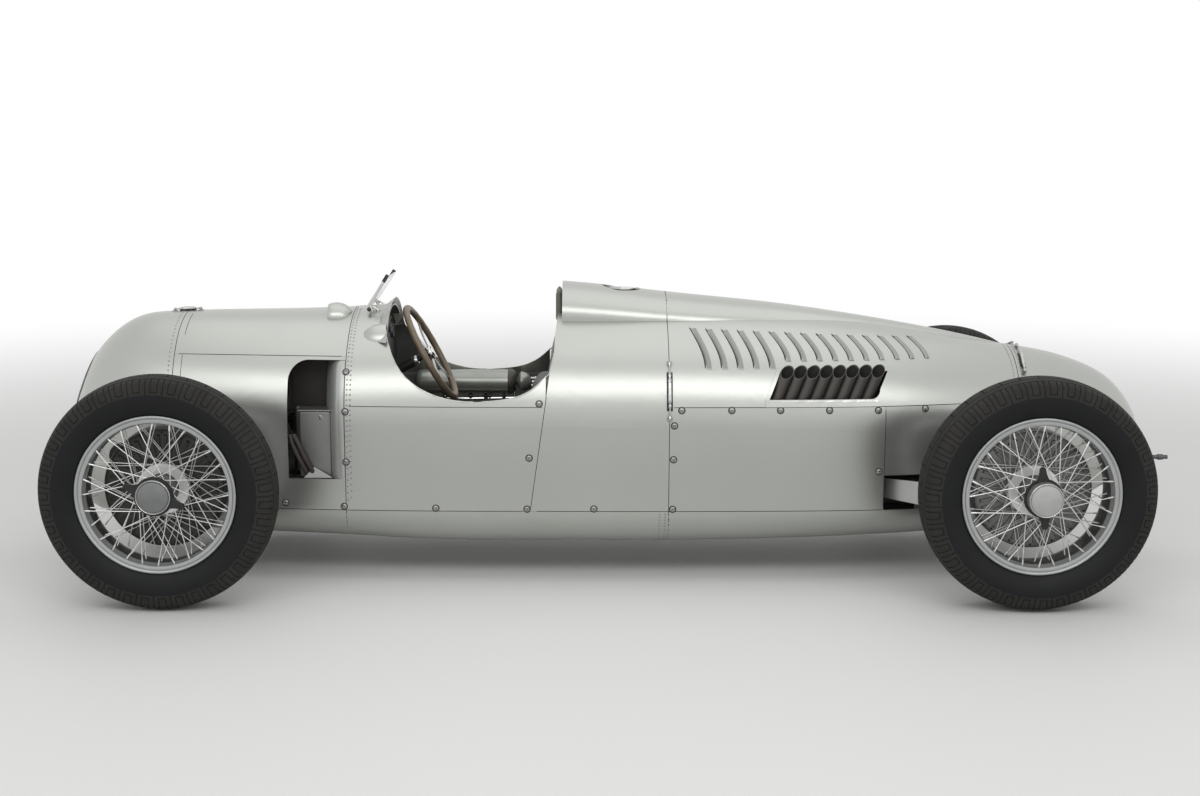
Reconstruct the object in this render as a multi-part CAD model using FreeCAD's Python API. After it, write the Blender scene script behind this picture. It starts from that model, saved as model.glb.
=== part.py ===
import FreeCAD, Part
import math
import os

# Open wheel racing car of the mid nineteen-thirties, sixteen cylinders behind the driver.
# Millimetres. The nose points to -X, the car's left side to -Y, and Z = 0 is the ground.
# X = 0 is half way between the nose tip and the end of the starter shaft.

# Whole car
wheelbase = 2900.0
track = 1420.0
body_length = 3940.0
body_width = 830.0
cowl_height = 956.0
nose_overhang = 475.0
starter_reach = 125.0
skin = 4.0
seam = 0.6
seat_gap = 0.3
running_gap = 0.05
moving_gap = 5.0
overrun = 60.0

overall_length = body_length + starter_reach
nose_x = -overall_length / 2
tail_x = nose_x + body_length
front_axle_x = nose_x + nose_overhang
rear_axle_x = front_axle_x + wheelbase
half_width = body_width / 2
LEFT = -1
RIGHT = 1
SIDES = (("left", LEFT), ("right", RIGHT))


def vec(x, y, z):
    return FreeCAD.Vector(x, y, z)


X_AXIS = vec(1, 0, 0)
Y_AXIS = vec(0, 1, 0)


def box(x0, x1, y0, y1, z0, z1):
    """A block between two corners."""
    return Part.makeBox(x1 - x0, y1 - y0, z1 - z0, vec(x0, y0, z0))


def mirror(shape):
    """The same piece on the other side of the car."""
    return shape.mirror(vec(0, 0, 0), Y_AXIS)


def rod(start, end, radius):
    """A round bar from one point to another."""
    run = end.sub(start)
    return Part.makeCylinder(radius, run.Length, start, run)


def plate(points, thickness_vector):
    """A flat plate: a closed outline pushed along a vector."""
    return Part.Face(Part.makePolygon(points + points[:1])).extrude(thickness_vector)


def fused(shapes):
    """One solid from touching shapes."""
    return shapes[0].multiFuse(shapes[1:]).removeSplitter()


def save(name, *shapes):
    """Writes one sub-part; solids that don't touch share a file."""
    solids = [solid for shape in shapes for solid in shape.Solids]
    whole = solids[0] if len(solids) == 1 else Part.makeCompound(solids)
    whole.exportStep("parts/" + name + ".step")


# Hull: sections across the car, as shares of the body's length, half width and cowl height.
# Columns: place, half width, top, bottom, flat floor, belly height within the section.
hull_shares = (
    (0.000, 0.170, 0.544, 0.345, 0.15, 0.42),
    (0.005, 0.360, 0.626, 0.274, 0.20, 0.42),
    (0.012, 0.470, 0.718, 0.232, 0.25, 0.40),
    (0.023, 0.565, 0.803, 0.207, 0.30, 0.36),
    (0.040, 0.645, 0.881, 0.188, 0.38, 0.31),
    (0.061, 0.705, 0.935, 0.176, 0.46, 0.26),
    (0.091, 0.765, 0.955, 0.167, 0.55, 0.21),
    (0.164, 0.860, 0.963, 0.160, 0.68, 0.16),
    (0.265, 0.955, 0.975, 0.155, 0.76, 0.145),
    (0.336, 0.988, 0.992, 0.144, 0.78, 0.145),
    (0.456, 1.000, 0.980, 0.141, 0.78, 0.145),
    (0.549, 1.000, 0.979, 0.141, 0.78, 0.145),
    (0.646, 0.983, 0.966, 0.146, 0.77, 0.145),
    (0.740, 0.928, 0.931, 0.155, 0.74, 0.150),
    (0.791, 0.848, 0.894, 0.159, 0.70, 0.160),
    (0.864, 0.687, 0.840, 0.176, 0.60, 0.20),
    (0.915, 0.542, 0.804, 0.209, 0.48, 0.26),
    (0.944, 0.434, 0.765, 0.246, 0.38, 0.32),
    (0.973, 0.290, 0.6945, 0.309, 0.28, 0.38),
    (0.988, 0.193, 0.623, 0.361, 0.20, 0.42),
    (0.9967, 0.115, 0.5565, 0.413, 0.15, 0.42),
    (1.000, 0.058, 0.502, 0.4445, 0.15, 0.42),
)
shoulder_share = 0.525
tumblehome_share = 0.985
quarter_share = 0.5523


def hull_values(row):
    """Place, half width, top and bottom of one section, in millimetres."""
    return (nose_x + row[0] * body_length, row[1] * half_width, row[2] * cowl_height, row[3] * cowl_height)


def curve(poles):
    """A cubic curve edge."""
    bezier = Part.BezierCurve()
    bezier.setPoles(poles)
    return bezier.toShape()


def quarter(x, start, end, corner):
    """A quarter of an ellipse from start to end, tangent to the lines that meet at the corner."""
    near = tuple(s + (c - s) * quarter_share for s, c in zip(start, corner))
    far = tuple(e + (c - e) * quarter_share for e, c in zip(end, corner))
    return curve([vec(x, *p) for p in (start, near, far, end)])


def hull_section(x, half, top, bottom, flat_share, belly_share):
    """The closed outline of the hull at one place."""
    height = top - bottom
    belt = bottom + height * belly_share
    shoulder = bottom + height * shoulder_share
    floor = half * flat_share
    low = half * tumblehome_share
    mid = (belt + shoulder) / 2
    edges = [Part.makeLine(vec(x, -floor, bottom), vec(x, floor, bottom)),
             quarter(x, (floor, bottom), (low, belt), (low, bottom)),
             curve([vec(x, low, belt), vec(x, low, mid), vec(x, half, mid), vec(x, half, shoulder)]),
             quarter(x, (half, shoulder), (0, top), (half, top)),
             quarter(x, (0, top), (-half, shoulder), (-half, top)),
             curve([vec(x, -half, shoulder), vec(x, -half, mid), vec(x, -low, mid), vec(x, -low, belt)]),
             quarter(x, (-low, belt), (-floor, bottom), (-low, bottom))]
    return Part.Wire(edges)


def slopes(values, places):
    """Slope of a row of values at each place, from its neighbours."""
    last = len(values) - 1
    result = []
    for i in range(len(values)):
        a, b = max(i - 1, 0), min(i + 1, last)
        result.append((values[b] - values[a]) / (places[b] - places[a]))
    return result


def hull_solid(inset):
    """The hull's form, drawn in by an even distance along its surface normal."""
    rows = [hull_values(row) for row in hull_shares]
    places = [row[0] for row in rows]
    leans = [slopes([row[k] for row in rows], places) for k in (1, 2, 3)]
    wires = []
    for i, row in enumerate(rows):
        shift = 0
        if i == 0:
            shift = inset
        if i == len(rows) - 1:
            shift = -inset
        pull = [inset * math.hypot(1, lean[i]) for lean in leans]
        if shift:
            pull = [inset for lean in leans]
        x, half, top, bottom = row
        wires.append(hull_section(x + shift, half - pull[0], top - pull[1], bottom + pull[2],
                                  hull_shares[i][4], hull_shares[i][5]))
    return Part.makeLoft(wires, True, False)


# Spine: the head fairing behind the driver, falling to nothing ahead of the tail.
# Columns: place along the body, half width, top of the spine, foot inside the hull.
fairing_height = 1028.0
spine_half_width = 178.0
spine_foot_height = 780.0
spine_shares = (
    (0.4556, 1.000, 1.0000),
    (0.5000, 1.000, 0.9850),
    (0.5450, 0.985, 0.9660),
    (0.6400, 0.850, 0.9300),
    (0.7250, 0.620, 0.8860),
    (0.7910, 0.390, 0.8430),
    (0.8640, 0.100, 0.7830),
)
spine_wall_share = 0.55
spine_x = nose_x + spine_shares[0][0] * body_length


def spine_solid(inset):
    """The spine's form, drawn in by an even distance."""
    wires = []
    for i, (place, wide, high) in enumerate(spine_shares):
        x = nose_x + place * body_length
        if i == 0:
            x += inset
        half = max(wide * spine_half_width - inset, skin)
        top = high * fairing_height - inset
        foot = min(spine_foot_height, top - skin) - inset
        eave = foot + (top - foot) * spine_wall_share
        wires.append(Part.Wire([Part.makeLine(vec(x, half, foot), vec(x, half, eave)),
                                quarter(x, (half, eave), (0, top), (half, top)),
                                quarter(x, (0, top), (-half, eave), (-half, top)),
                                Part.makeLine(vec(x, -half, eave), vec(x, -half, foot)),
                                Part.makeLine(vec(x, -half, foot), vec(x, half, foot))]))
    return Part.makeLoft(wires, True, False)


outer_form = hull_solid(0).fuse(spine_solid(0))
inner_form = hull_solid(skin).fuse(spine_solid(skin))

# Seams between the body panels
nose_seam_lead = 50.0
bonnet_length = 615.0
bonnet_to_engine = 1130.0
engine_panel_length = 760.0
tail_seam_trail = 60.0
nose_seam_x = front_axle_x - nose_seam_lead
bonnet_seam_x = nose_seam_x + bonnet_length
engine_seam_x = bonnet_seam_x + bonnet_to_engine
rear_seam_x = engine_seam_x + engine_panel_length
tail_seam_x = rear_axle_x + tail_seam_trail
belly_seam_height = 255.0
side_seam_height = 626.0
bonnet_seam_height = 788.0
tank_seam_lean = 55.0
tank_seam_lead = 55.0

# Cockpit opening, seen from the side: shares of its length and of the cut's depth
cockpit_setback = 700.0
cockpit_front_x = front_axle_x + cockpit_setback
cockpit_rear_x = spine_x
cockpit_floor_height = 645.0
cockpit_edge_shares = (
    (0.000, 1.000), (0.020, 0.580), (0.105, 0.290), (0.250, 0.090), (0.420, 0.000),
    (0.620, 0.002), (0.755, 0.050), (0.870, 0.180), (0.930, 0.330), (0.960, 0.640), (0.965, 1.000),
)


def cockpit_cut():
    """A prism across the car that opens the cockpit, its lower edge one smooth curve."""
    length = cockpit_rear_x - cockpit_front_x
    depth = cowl_height - cockpit_floor_height
    points = [vec(cockpit_front_x + a * length, -half_width - overrun, cockpit_floor_height + b * depth)
              for a, b in cockpit_edge_shares]
    edge = Part.BSplineCurve()
    edge.interpolate(points)
    top = fairing_height + overrun
    start, end = points[0], points[-1]
    above = [vec(start.x, start.y, top), vec(end.x, end.y, top)]
    wire = Part.Wire([edge.toShape(), Part.makeLine(end, above[1]), Part.makeLine(above[1], above[0]),
                      Part.makeLine(above[0], start)])
    return Part.Face(wire).extrude(vec(0, body_width + 2 * overrun, 0))


def slab(x0, x1, z0, z1):
    """A block right across the car."""
    return box(x0, x1, -half_width - overrun, half_width + overrun, z0, z1)


shell = outer_form.cut(inner_form)
lining = hull_solid(skin + seat_gap).fuse(spine_solid(skin + seat_gap))
hull_skin_face = hull_solid(-seat_gap)
sky = fairing_height + overrun
half_seam = seam / 2
os.makedirs("parts", exist_ok=True)

# Axles and the chassis round them
wheel_radius = 392.0
axle_height = wheel_radius
kingpin_y = 546.0
kingpin_radius = 11.0
boss_radius = 22.0
arm_tube_lead = 180.0
arm_tube_radius = 35.0
arm_spacing = 75.0
arm_outer_y = 487.0
arm_width = 32.0
arm_eye_radius = 46.0
boss_half_height = 16.0
frame_tube_radius = 50.0
frame_tube_y = 240.0
frame_tube_height = 300.0
frame_rear_gap = 150.0
frame_rear_x = rear_axle_x - frame_rear_gap
swing_tube_radius = 38.0
brake_plate_inner_y = kingpin_y + boss_radius + moving_gap
brake_plate_thickness = 8.0
drum_radius = 195.0
steering_arm_length = 140.0
track_rod_radius = 9.5
track_rod_rise = 50.0
track_rod_travel = 12.0
arm_tube_x = front_axle_x - arm_tube_lead
track_rod_x = front_axle_x + steering_arm_length
track_rod_height = axle_height + track_rod_rise

# Nose: a full ring with the radiator's mouth and the holes for the axle tubes
mouth_half_width = 128.0
mouth_low = 236.0
mouth_high = 752.0
mouth_depth = 200.0
grille_depth = 3.0
grille_thickness = 10.0
grille_ring = 12.0
grille_bar = 3.5
grille_pitch = 16.0


def oval_prism(x0, x1, half, low, high):
    """A tall rounded-end prism along the car, for the mouth and its grille."""
    block = box(x0, x1, -half, half, low + half, high - half)
    ends = [Part.makeCylinder(half, x1 - x0, vec(x0, 0, z), X_AXIS) for z in (low + half, high - half)]
    return fused([block] + ends)


def tube_holes(gap):
    """The space that the two axle tubes need across the car."""
    return [Part.makeCylinder(arm_tube_radius + gap, 2 * arm_outer_y,
                              vec(arm_tube_x, -arm_outer_y, axle_height + side * arm_spacing), Y_AXIS)
            for side in (-1, 1)]


mouth = oval_prism(nose_x - overrun, nose_x + mouth_depth, mouth_half_width, mouth_low, mouth_high)
nose_cowl = shell.common(slab(nose_x - overrun, nose_seam_x - half_seam, 0, sky)).cut(mouth)
for hole in tube_holes(moving_gap):
    nose_cowl = nose_cowl.cut(hole)
save("nose_cowl", nose_cowl)

layer = hull_solid(grille_depth).cut(hull_solid(grille_depth + grille_thickness))
fit_half = mouth_half_width - seat_gap
grille_outer = oval_prism(nose_x - overrun, nose_x + mouth_depth, fit_half,
                          mouth_low + seat_gap, mouth_high - seat_gap)
grille_inner = oval_prism(nose_x - overrun, nose_x + mouth_depth, fit_half - grille_ring,
                          mouth_low + grille_ring, mouth_high - grille_ring)
bars = []
bar_count = int((fit_half - grille_ring) / grille_pitch)
for i in range(-bar_count, bar_count + 1):
    y = i * grille_pitch
    bars.append(box(nose_x - overrun, nose_x + mouth_depth, y - grille_bar / 2, y + grille_bar / 2, 0, sky))
grille = layer.common(grille_outer).common(grille_outer.cut(grille_inner).multiFuse(bars))
save("nose_grille", grille)

radiator_lead = 215.0
radiator_thickness = 55.0
radiator_x = front_axle_x - radiator_lead - radiator_thickness - arm_tube_radius
save("radiator", lining.common(slab(radiator_x, radiator_x + radiator_thickness, 0, sky)))

# Bonnet: the top panel, and the side panels with their air outlets
vent_front = 365.0
vent_low = 366.0
vent_high = 777.0
vent_corner = 70.0
vent_x0 = front_axle_x + vent_front
vent_x1 = bonnet_seam_x - seam



def blister(centre, half_length, half_height, bulge, tilt):
    """An egg-shaped bulge lying on the skin, its long axis along the car."""
    form = Part.makeSphere(1).transformGeometry(FreeCAD.Matrix(
        half_length, 0, 0, 0, 0, half_height, 0, 0, 0, 0, bulge, 0, 0, 0, 0, 1))
    form.rotate(vec(0, 0, 0), X_AXIS, tilt)
    form.translate(centre)
    return form


# A small air scoop on the bonnet, open towards the nose
scoop_setback = 502.0
scoop_y = 90.0
scoop_height = 905.0
scoop_half_length = 61.0
scoop_half_width = 56.0
scoop_bulge = 50.0
scoop_sheet = 2.5
scoop_tilt = 12.0
scoop_mouth = 0.45
scoop_centre = vec(front_axle_x + scoop_setback, -scoop_y, scoop_height)
scoop = blister(scoop_centre, scoop_half_length, scoop_half_width, scoop_bulge, scoop_tilt)
scoop_hollow = blister(scoop_centre, scoop_half_length - scoop_sheet, scoop_half_width - scoop_sheet,
                       scoop_bulge - scoop_sheet, scoop_tilt)
scoop_mouth_x = scoop_centre.x - scoop_mouth * scoop_half_length
scoop_rear = slab(scoop_mouth_x, rear_axle_x, 0, sky)
scoop_form = scoop.common(scoop_rear).cut(scoop_hollow).cut(hull_solid(skin / 2))
bonnet_top = shell.common(slab(nose_seam_x + half_seam, bonnet_seam_x - half_seam,
                               bonnet_seam_height + half_seam, sky))
save("bonnet_top", bonnet_top.fuse(scoop_form).removeSplitter())


def vent_outline(y, depth):
    """The side outlet's prism: square corners but for the large one high at the front."""
    a = vec(vent_x0, y, vent_low)
    b = vec(vent_x1, y, vent_low)
    c = vec(vent_x1, y, vent_high)
    d = vec(vent_x0 + vent_corner, y, vent_high)
    e = vec(vent_x0, y, vent_high - vent_corner)
    turn = vent_corner * (1 - math.sqrt(0.5))
    middle = vec(vent_x0 + turn, y, vent_high - turn)
    edges = [Part.makeLine(a, b), Part.makeLine(b, c), Part.makeLine(c, d),
             Part.Arc(d, middle, e).toShape(), Part.makeLine(e, a)]
    return Part.Face(Part.Wire(edges)).extrude(vec(0, depth, 0))


rod_slot_x = track_rod_radius + moving_gap + track_rod_travel
rod_slot_z = track_rod_radius + moving_gap
cut_span = body_width + 2 * overrun
bonnet_sides = shell.common(slab(nose_seam_x + half_seam, bonnet_seam_x - half_seam,
                                 belly_seam_height + half_seam, bonnet_seam_height - half_seam))
bonnet_sides = bonnet_sides.cut(vent_outline(-half_width - overrun, cut_span))
bonnet_sides = bonnet_sides.cut(slab(track_rod_x - rod_slot_x, track_rod_x + rod_slot_x,
                                     track_rod_height - rod_slot_z, track_rod_height + rod_slot_z))
save("bonnet_sides", bonnet_sides)

# Outlet ducts: a floor and a curved rear wall that turn the radiator's air outwards
duct_inner_y = 290.0
duct_sheet = 2.0
duct_margin = 6.0
duct_radius = 80.0
ducts = []
for name, side in SIDES:
    y0, y1 = sorted((side * duct_inner_y, side * half_width))
    duct_low = vent_low - duct_margin
    floor = box(vent_x0 - duct_margin, vent_x1, y0, y1, duct_low - duct_sheet, duct_low)
    corner = vec(vent_x1 - duct_radius, side * (duct_inner_y + duct_radius), duct_low)
    wall_height = vent_high + duct_margin - corner.z
    ring = Part.makeCylinder(duct_radius, wall_height, corner).cut(
        Part.makeCylinder(duct_radius - duct_sheet, wall_height, corner))
    q0, q1 = sorted((corner.y, side * duct_inner_y))
    arc = ring.common(box(corner.x, vent_x1, q0, q1, corner.z, corner.z + wall_height))
    b0, b1 = sorted((side * duct_inner_y, side * (duct_inner_y + duct_sheet)))
    back = box(vent_x0 - duct_margin, corner.x, b0, b1, corner.z, corner.z + wall_height)
    e0, e1 = sorted((corner.y, side * half_width))
    end = box(vent_x1 - duct_sheet, vent_x1, e0, e1, corner.z, corner.z + wall_height)
    ducts.append(fused([floor, back, arc, end]).common(lining))
save("vent_ducts", *ducts)

# Cockpit: the cowl round the opening, the side panels and the bulkhead behind the seat
opening = cockpit_cut()
seam_top_x = spine_x - tank_seam_lead
seam_foot_x = seam_top_x - tank_seam_lean


def tank_side(shift):
    """Everything behind the slanted seam between cockpit and tank."""
    reach = body_length
    y = -half_width - overrun
    rise = (seam_top_x - seam_foot_x) / (cockpit_floor_height - belly_seam_height)
    top_x = seam_top_x + rise * (sky - cockpit_floor_height) + shift
    low_x = seam_foot_x - rise * belly_seam_height + shift
    points = [vec(low_x, y, 0), vec(reach, y, 0), vec(reach, y, sky), vec(top_x, y, sky)]
    return plate(points, vec(0, cut_span, 0))


cockpit_zone = slab(bonnet_seam_x + half_seam, engine_seam_x, belly_seam_height + half_seam, sky)
front_zone = cockpit_zone.cut(tank_side(-half_seam)).common(
    slab(bonnet_seam_x, seam_top_x + seam, 0, sky))
above_side_seam = slab(nose_x, tail_x, side_seam_height + half_seam, sky)
below_side_seam = slab(nose_x, tail_x, 0, side_seam_height - half_seam)

# The cowl's own forms: an elbow bulge on each side and a lip that turns up ahead of the driver
bulge_setback = 693.0
bulge_y = 238.0
bulge_height = 848.0
bulge_half_length = 78.0
bulge_half_height = 52.0
bulge_reach = 34.0
bulge_tilt = 54.0
lip_front_setback = 668.0
lip_length = 36.0
lip_rise = 26.0
lip_sheet = 3.0
lip_foot_height = 835.0


def lip_form(inset):
    """A flare from the hull's own section to a higher one behind it."""
    near = [hull_values(row) for row in hull_shares]
    wires = []
    lip_x = front_axle_x + lip_front_setback
    for x, rise in ((lip_x, 0), (lip_x + lip_length, lip_rise)):
        after = next(i for i, row in enumerate(near) if row[0] > x)
        a, b = near[after - 1], near[after]
        share = (x - a[0]) / (b[0] - a[0])
        half, top, bottom = (p + (q - p) * share for p, q in zip(a[1:], b[1:]))
        wires.append(hull_section(x, half - inset, top + rise - inset, bottom, hull_shares[after][4],
                                  hull_shares[after][5]))
    return Part.makeLoft(wires, True, True)


cowl = shell.common(front_zone.common(above_side_seam))
lip_end_x = front_axle_x + lip_front_setback + lip_length
for name, side in SIDES:
    centre = vec(front_axle_x + bulge_setback, side * bulge_y, bulge_height)
    bulge = blister(centre, bulge_half_length, bulge_half_height, bulge_reach, -side * bulge_tilt)
    hollow = blister(centre, bulge_half_length - scoop_sheet, bulge_half_height - scoop_sheet,
                     bulge_reach - scoop_sheet, -side * bulge_tilt)
    cowl = cowl.fuse(bulge.cut(inner_form)).cut(hollow)
cowl = cowl.cut(opening)
lip = lip_form(0).cut(lip_form(lip_sheet)).common(slab(nose_x, lip_end_x, lip_foot_height, sky))
save("cockpit_cowl", cowl.fuse(lip.cut(hull_solid(skin / 2))).removeSplitter())
save("cockpit_sides", shell.common(front_zone.common(below_side_seam)))

bulkhead_thickness = 3.0
head_pad_half_width = 104.0
head_pad_low = 905.0
head_pad_high = 1012.0
head_pad_thickness = 24.0
head_pad_foot = 29.0
pad_round = 12.0
bulkhead_x = spine_x + skin + seat_gap
frame_front_x = arm_tube_x + arm_tube_radius + seat_gap


def frame_tube_forms(gap):
    """The two long tubes of the ladder frame, as solid bars."""
    return [Part.makeCylinder(frame_tube_radius + gap, frame_rear_x - frame_front_x,
                              vec(frame_front_x, side * frame_tube_y, frame_tube_height), X_AXIS)
            for name, side in SIDES]


bulkhead = lining.common(slab(bulkhead_x, bulkhead_x + bulkhead_thickness, 0, sky))
for bar in frame_tube_forms(seat_gap):
    bulkhead = bulkhead.cut(bar)
save("seat_bulkhead", bulkhead)

# Tank cover: both sides and the head fairing in one, with the filler's recess in the top
filler_setback = 1534.0
filler_x = front_axle_x + filler_setback
filler_hole_radius = 72.0
filler_neck_radius = 48.0
filler_cap_radius = 50.0
filler_cap_low = 994.0
filler_cap_thickness = 10.0
filler_dish_low = 980.0
filler_dish_top = 999.0
filler_sheet = 2.5
filler_pin_radius = 3.0
filler_lug_radius = 6.0
filler_lug_width = 8.0
filler_arm_width = 12.0
filler_hinge_x = filler_x + filler_cap_radius + filler_lug_radius + moving_gap
filler_hinge_height = filler_cap_low + filler_lug_radius

tank_cover = shell.common(tank_side(half_seam)).common(
    slab(seam_foot_x - overrun, engine_seam_x - half_seam, belly_seam_height + half_seam, sky))
tank_cover = tank_cover.cut(opening).cut(
    Part.makeCylinder(filler_hole_radius, 2 * overrun, vec(filler_x, 0, filler_dish_low - skin)))
recess_half = head_pad_half_width + pad_round
pad_recess = box(spine_x - body_length, spine_x, -recess_half, recess_half, head_pad_low - pad_round, sky)
save("tank_cover", tank_cover.cut(pad_recess))

dish_radius = filler_hole_radius - seat_gap
dish = Part.makeCylinder(dish_radius, filler_dish_top - filler_dish_low, vec(filler_x, 0, filler_dish_low))
dish = dish.cut(Part.makeCylinder(dish_radius - filler_sheet, filler_dish_top,
                                  vec(filler_x, 0, filler_dish_low + filler_sheet)))
neck_low = filler_dish_low - filler_hole_radius
neck = Part.makeCylinder(filler_neck_radius, filler_cap_low - seat_gap - neck_low, vec(filler_x, 0, neck_low))
neck_bore = Part.makeCylinder(filler_neck_radius - filler_sheet, filler_cap_low, vec(filler_x, 0, neck_low))
lug_gap = filler_arm_width / 2 + seat_gap
lugs = []
for name, side in SIDES:
    y0, y1 = sorted((side * lug_gap, side * (lug_gap + filler_lug_width)))
    post = box(filler_hinge_x - filler_lug_radius, filler_hinge_x + filler_lug_radius, y0, y1,
               filler_dish_low, filler_hinge_height)
    lugs.append(post.fuse(Part.makeCylinder(filler_lug_radius, filler_lug_width,
                                            vec(filler_hinge_x, y0, filler_hinge_height), Y_AXIS)))
pin_span = 2 * (lug_gap + filler_lug_width)
hinge_pin = Part.makeCylinder(filler_pin_radius, pin_span,
                              vec(filler_hinge_x, -pin_span / 2, filler_hinge_height), Y_AXIS)
save("filler_neck", fused([dish, neck] + lugs).cut(neck_bore).fuse(hinge_pin).removeSplitter())

cap = Part.makeCylinder(filler_cap_radius, filler_cap_thickness, vec(filler_x, 0, filler_cap_low))
cap_arm = box(filler_x, filler_hinge_x, -filler_arm_width / 2, filler_arm_width / 2,
              filler_cap_low, filler_cap_low + filler_cap_thickness)
cap_eye = Part.makeCylinder(filler_lug_radius, filler_arm_width,
                            vec(filler_hinge_x, -filler_arm_width / 2, filler_hinge_height), Y_AXIS)
cap_lever = box(filler_x - filler_cap_radius - filler_lug_radius, filler_x, -filler_arm_width / 2,
                filler_arm_width / 2, filler_cap_low + filler_cap_thickness / 2,
                filler_cap_low + filler_cap_thickness + filler_pin_radius)
cap_bore = Part.makeCylinder(filler_pin_radius + running_gap, pin_span,
                             vec(filler_hinge_x, -pin_span / 2, filler_hinge_height), Y_AXIS)
save("filler_cap", fused([cap, cap_arm, cap_eye, cap_lever]).cut(cap_bore))

# Engine cover with the exhaust openings, the side panels below it, the tail and the belly pan
exhaust_low = 651.0
exhaust_high = 742.0
exhaust_front = 2043.0
exhaust_length = 392.0
exhaust_lean = 40.0
exhaust_corner = 32.0
exhaust_lip = 13.0
exhaust_lip_height = 4.0
exhaust_x0 = front_axle_x + exhaust_front
exhaust_x1 = exhaust_x0 + exhaust_length


def exhaust_opening(margin):
    """Prism across the car: a slot that leans back, with a rounded rear, grown by a margin."""
    y = -half_width - overrun
    a = vec(exhaust_x0, y, exhaust_low)
    b = vec(exhaust_x1 - exhaust_corner, y, exhaust_low)
    c = vec(exhaust_x1, y, exhaust_low + exhaust_corner)
    d = vec(exhaust_x1 + exhaust_corner, y, exhaust_high)
    e = vec(exhaust_x0 + exhaust_lean, y, exhaust_high)
    turn = exhaust_corner * (1 - math.sqrt(0.5))
    middle = vec(exhaust_x1 - turn, y, exhaust_low + turn)
    edges = [Part.makeLine(a, b), Part.Arc(b, middle, c).toShape(), Part.makeLine(c, d),
             Part.makeLine(d, e), Part.makeLine(e, a)]
    wire = Part.Wire(edges)
    if margin:
        wire = wire.makeOffset2D(margin)
    return Part.Face(wire).extrude(vec(0, cut_span, 0))


axle_hole_gap = 20.0
axle_hole = Part.makeCylinder(swing_tube_radius + axle_hole_gap, cut_span,
                              vec(rear_axle_x, -half_width - overrun, axle_height), Y_AXIS)
arm_hole_high = 380.0
engine_cover = shell.common(slab(engine_seam_x + half_seam, tail_seam_x - half_seam,
                                 side_seam_height + half_seam, sky))

# Exhaust stubs, eight a side: out of the block and up through scallops in the opening's top edge, ends slanted
exhaust_count = 8
exhaust_pitch = 46.3
exhaust_radius = 21.7
exhaust_wall = 2.0
exhaust_first = 2107.5
exhaust_mouth_y = 361.0
exhaust_draw_in = 4.7
exhaust_mouth_height = 743.0
exhaust_elbow_height = 606.0
exhaust_lean_share = 0.38
exhaust_clearance = 1.5
exhaust_rise = exhaust_mouth_height - exhaust_elbow_height
exhaust_elbow_x = front_axle_x + exhaust_first - exhaust_rise * exhaust_lean_share
exhaust_top_rise = exhaust_rise + 2 * exhaust_radius


def stub_route(index):
    """Elbow and upper end of one stub's middle line, past its mouth."""
    x = exhaust_elbow_x + index * exhaust_pitch
    y = exhaust_mouth_y - index * exhaust_draw_in
    return (vec(x, y, exhaust_elbow_height),
            vec(x + exhaust_top_rise * exhaust_lean_share, y, exhaust_elbow_height + exhaust_top_rise))


lip_layer = hull_solid(-exhaust_lip_height).cut(hull_solid(skin / 2))
sill = slab(exhaust_x0 - exhaust_lip, exhaust_x1, side_seam_height + half_seam, exhaust_low)
lips = lip_layer.common(exhaust_opening(exhaust_lip).fuse(sill))
scallops = []
for i in range(exhaust_count):
    elbow, top = stub_route(i)
    scallop = rod(elbow, top, exhaust_radius + exhaust_clearance)
    scallops += [scallop, mirror(scallop)]
engine_cover = engine_cover.multiFuse(lips.Solids).cut([exhaust_opening(0)] + scallops)

# Louvres: narrow rounded hoods in one row a side, each open along its front edge and bowed towards the tail
louvre_count = 15
louvre_long_count = 5
louvre_front = 1774.0
louvre_pitch = 56.5
louvre_width = 22.0
louvre_narrowing = 6.0
louvre_height = 7.2
louvre_sheet = 1.5
louvre_lead = 2.0
louvre_root = 2.0
louvre_mouth_depth = 8.0
louvre_bow = 50.0
louvre_low_long = 752.0
louvre_low_short = 776.0
louvre_high = 884.0
louvre_fall = 38.0
louvre_shoulder_share = 0.8
louvre_back_share = 0.7
# Stations down a louvre: share of its height, share of its lip's rise
louvre_stations = ((0.00, 0.0), (0.07, 0.7), (0.20, 1.0), (0.40, 1.0), (0.60, 1.0), (0.80, 1.0), (0.93, 0.7),
                   (1.00, 0.0))


def hull_point(hull, x, z):
    """The point where the hull's right side stands at one place and height."""
    inside = hull.common(Part.makeLine(vec(x, 0, z), vec(x, half_width + overrun, z)))
    return max((corner.Point for corner in inside.Vertexes), key=lambda point: point.y)


def louvre_sections(hull, index):
    """At each station of one louvre: front and rear points on the skin, the outward way, and the lip's rise."""
    low = louvre_low_long if index < louvre_long_count else louvre_low_short
    high = louvre_high - louvre_fall * index / (louvre_count - 1)
    width = louvre_width - louvre_narrowing * index / (louvre_count - 1)
    front = []
    rear = []
    for share, rise in louvre_stations:
        x = front_axle_x + louvre_front + index * louvre_pitch + louvre_bow * math.sin(share * math.pi / 2)
        z = high + (low - high) * share
        front.append(hull_point(hull, x, z))
        rear.append(hull_point(hull, x + width, z))
    sections = []
    last = len(front) - 1
    for i, (share, rise) in enumerate(louvre_stations):
        down = front[min(i + 1, last)].sub(front[max(i - 1, 0)])
        out = down.cross(rear[i].sub(front[i])).normalize()
        sections.append((front[i], rear[i], out, rise * louvre_height))
    return sections


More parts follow.
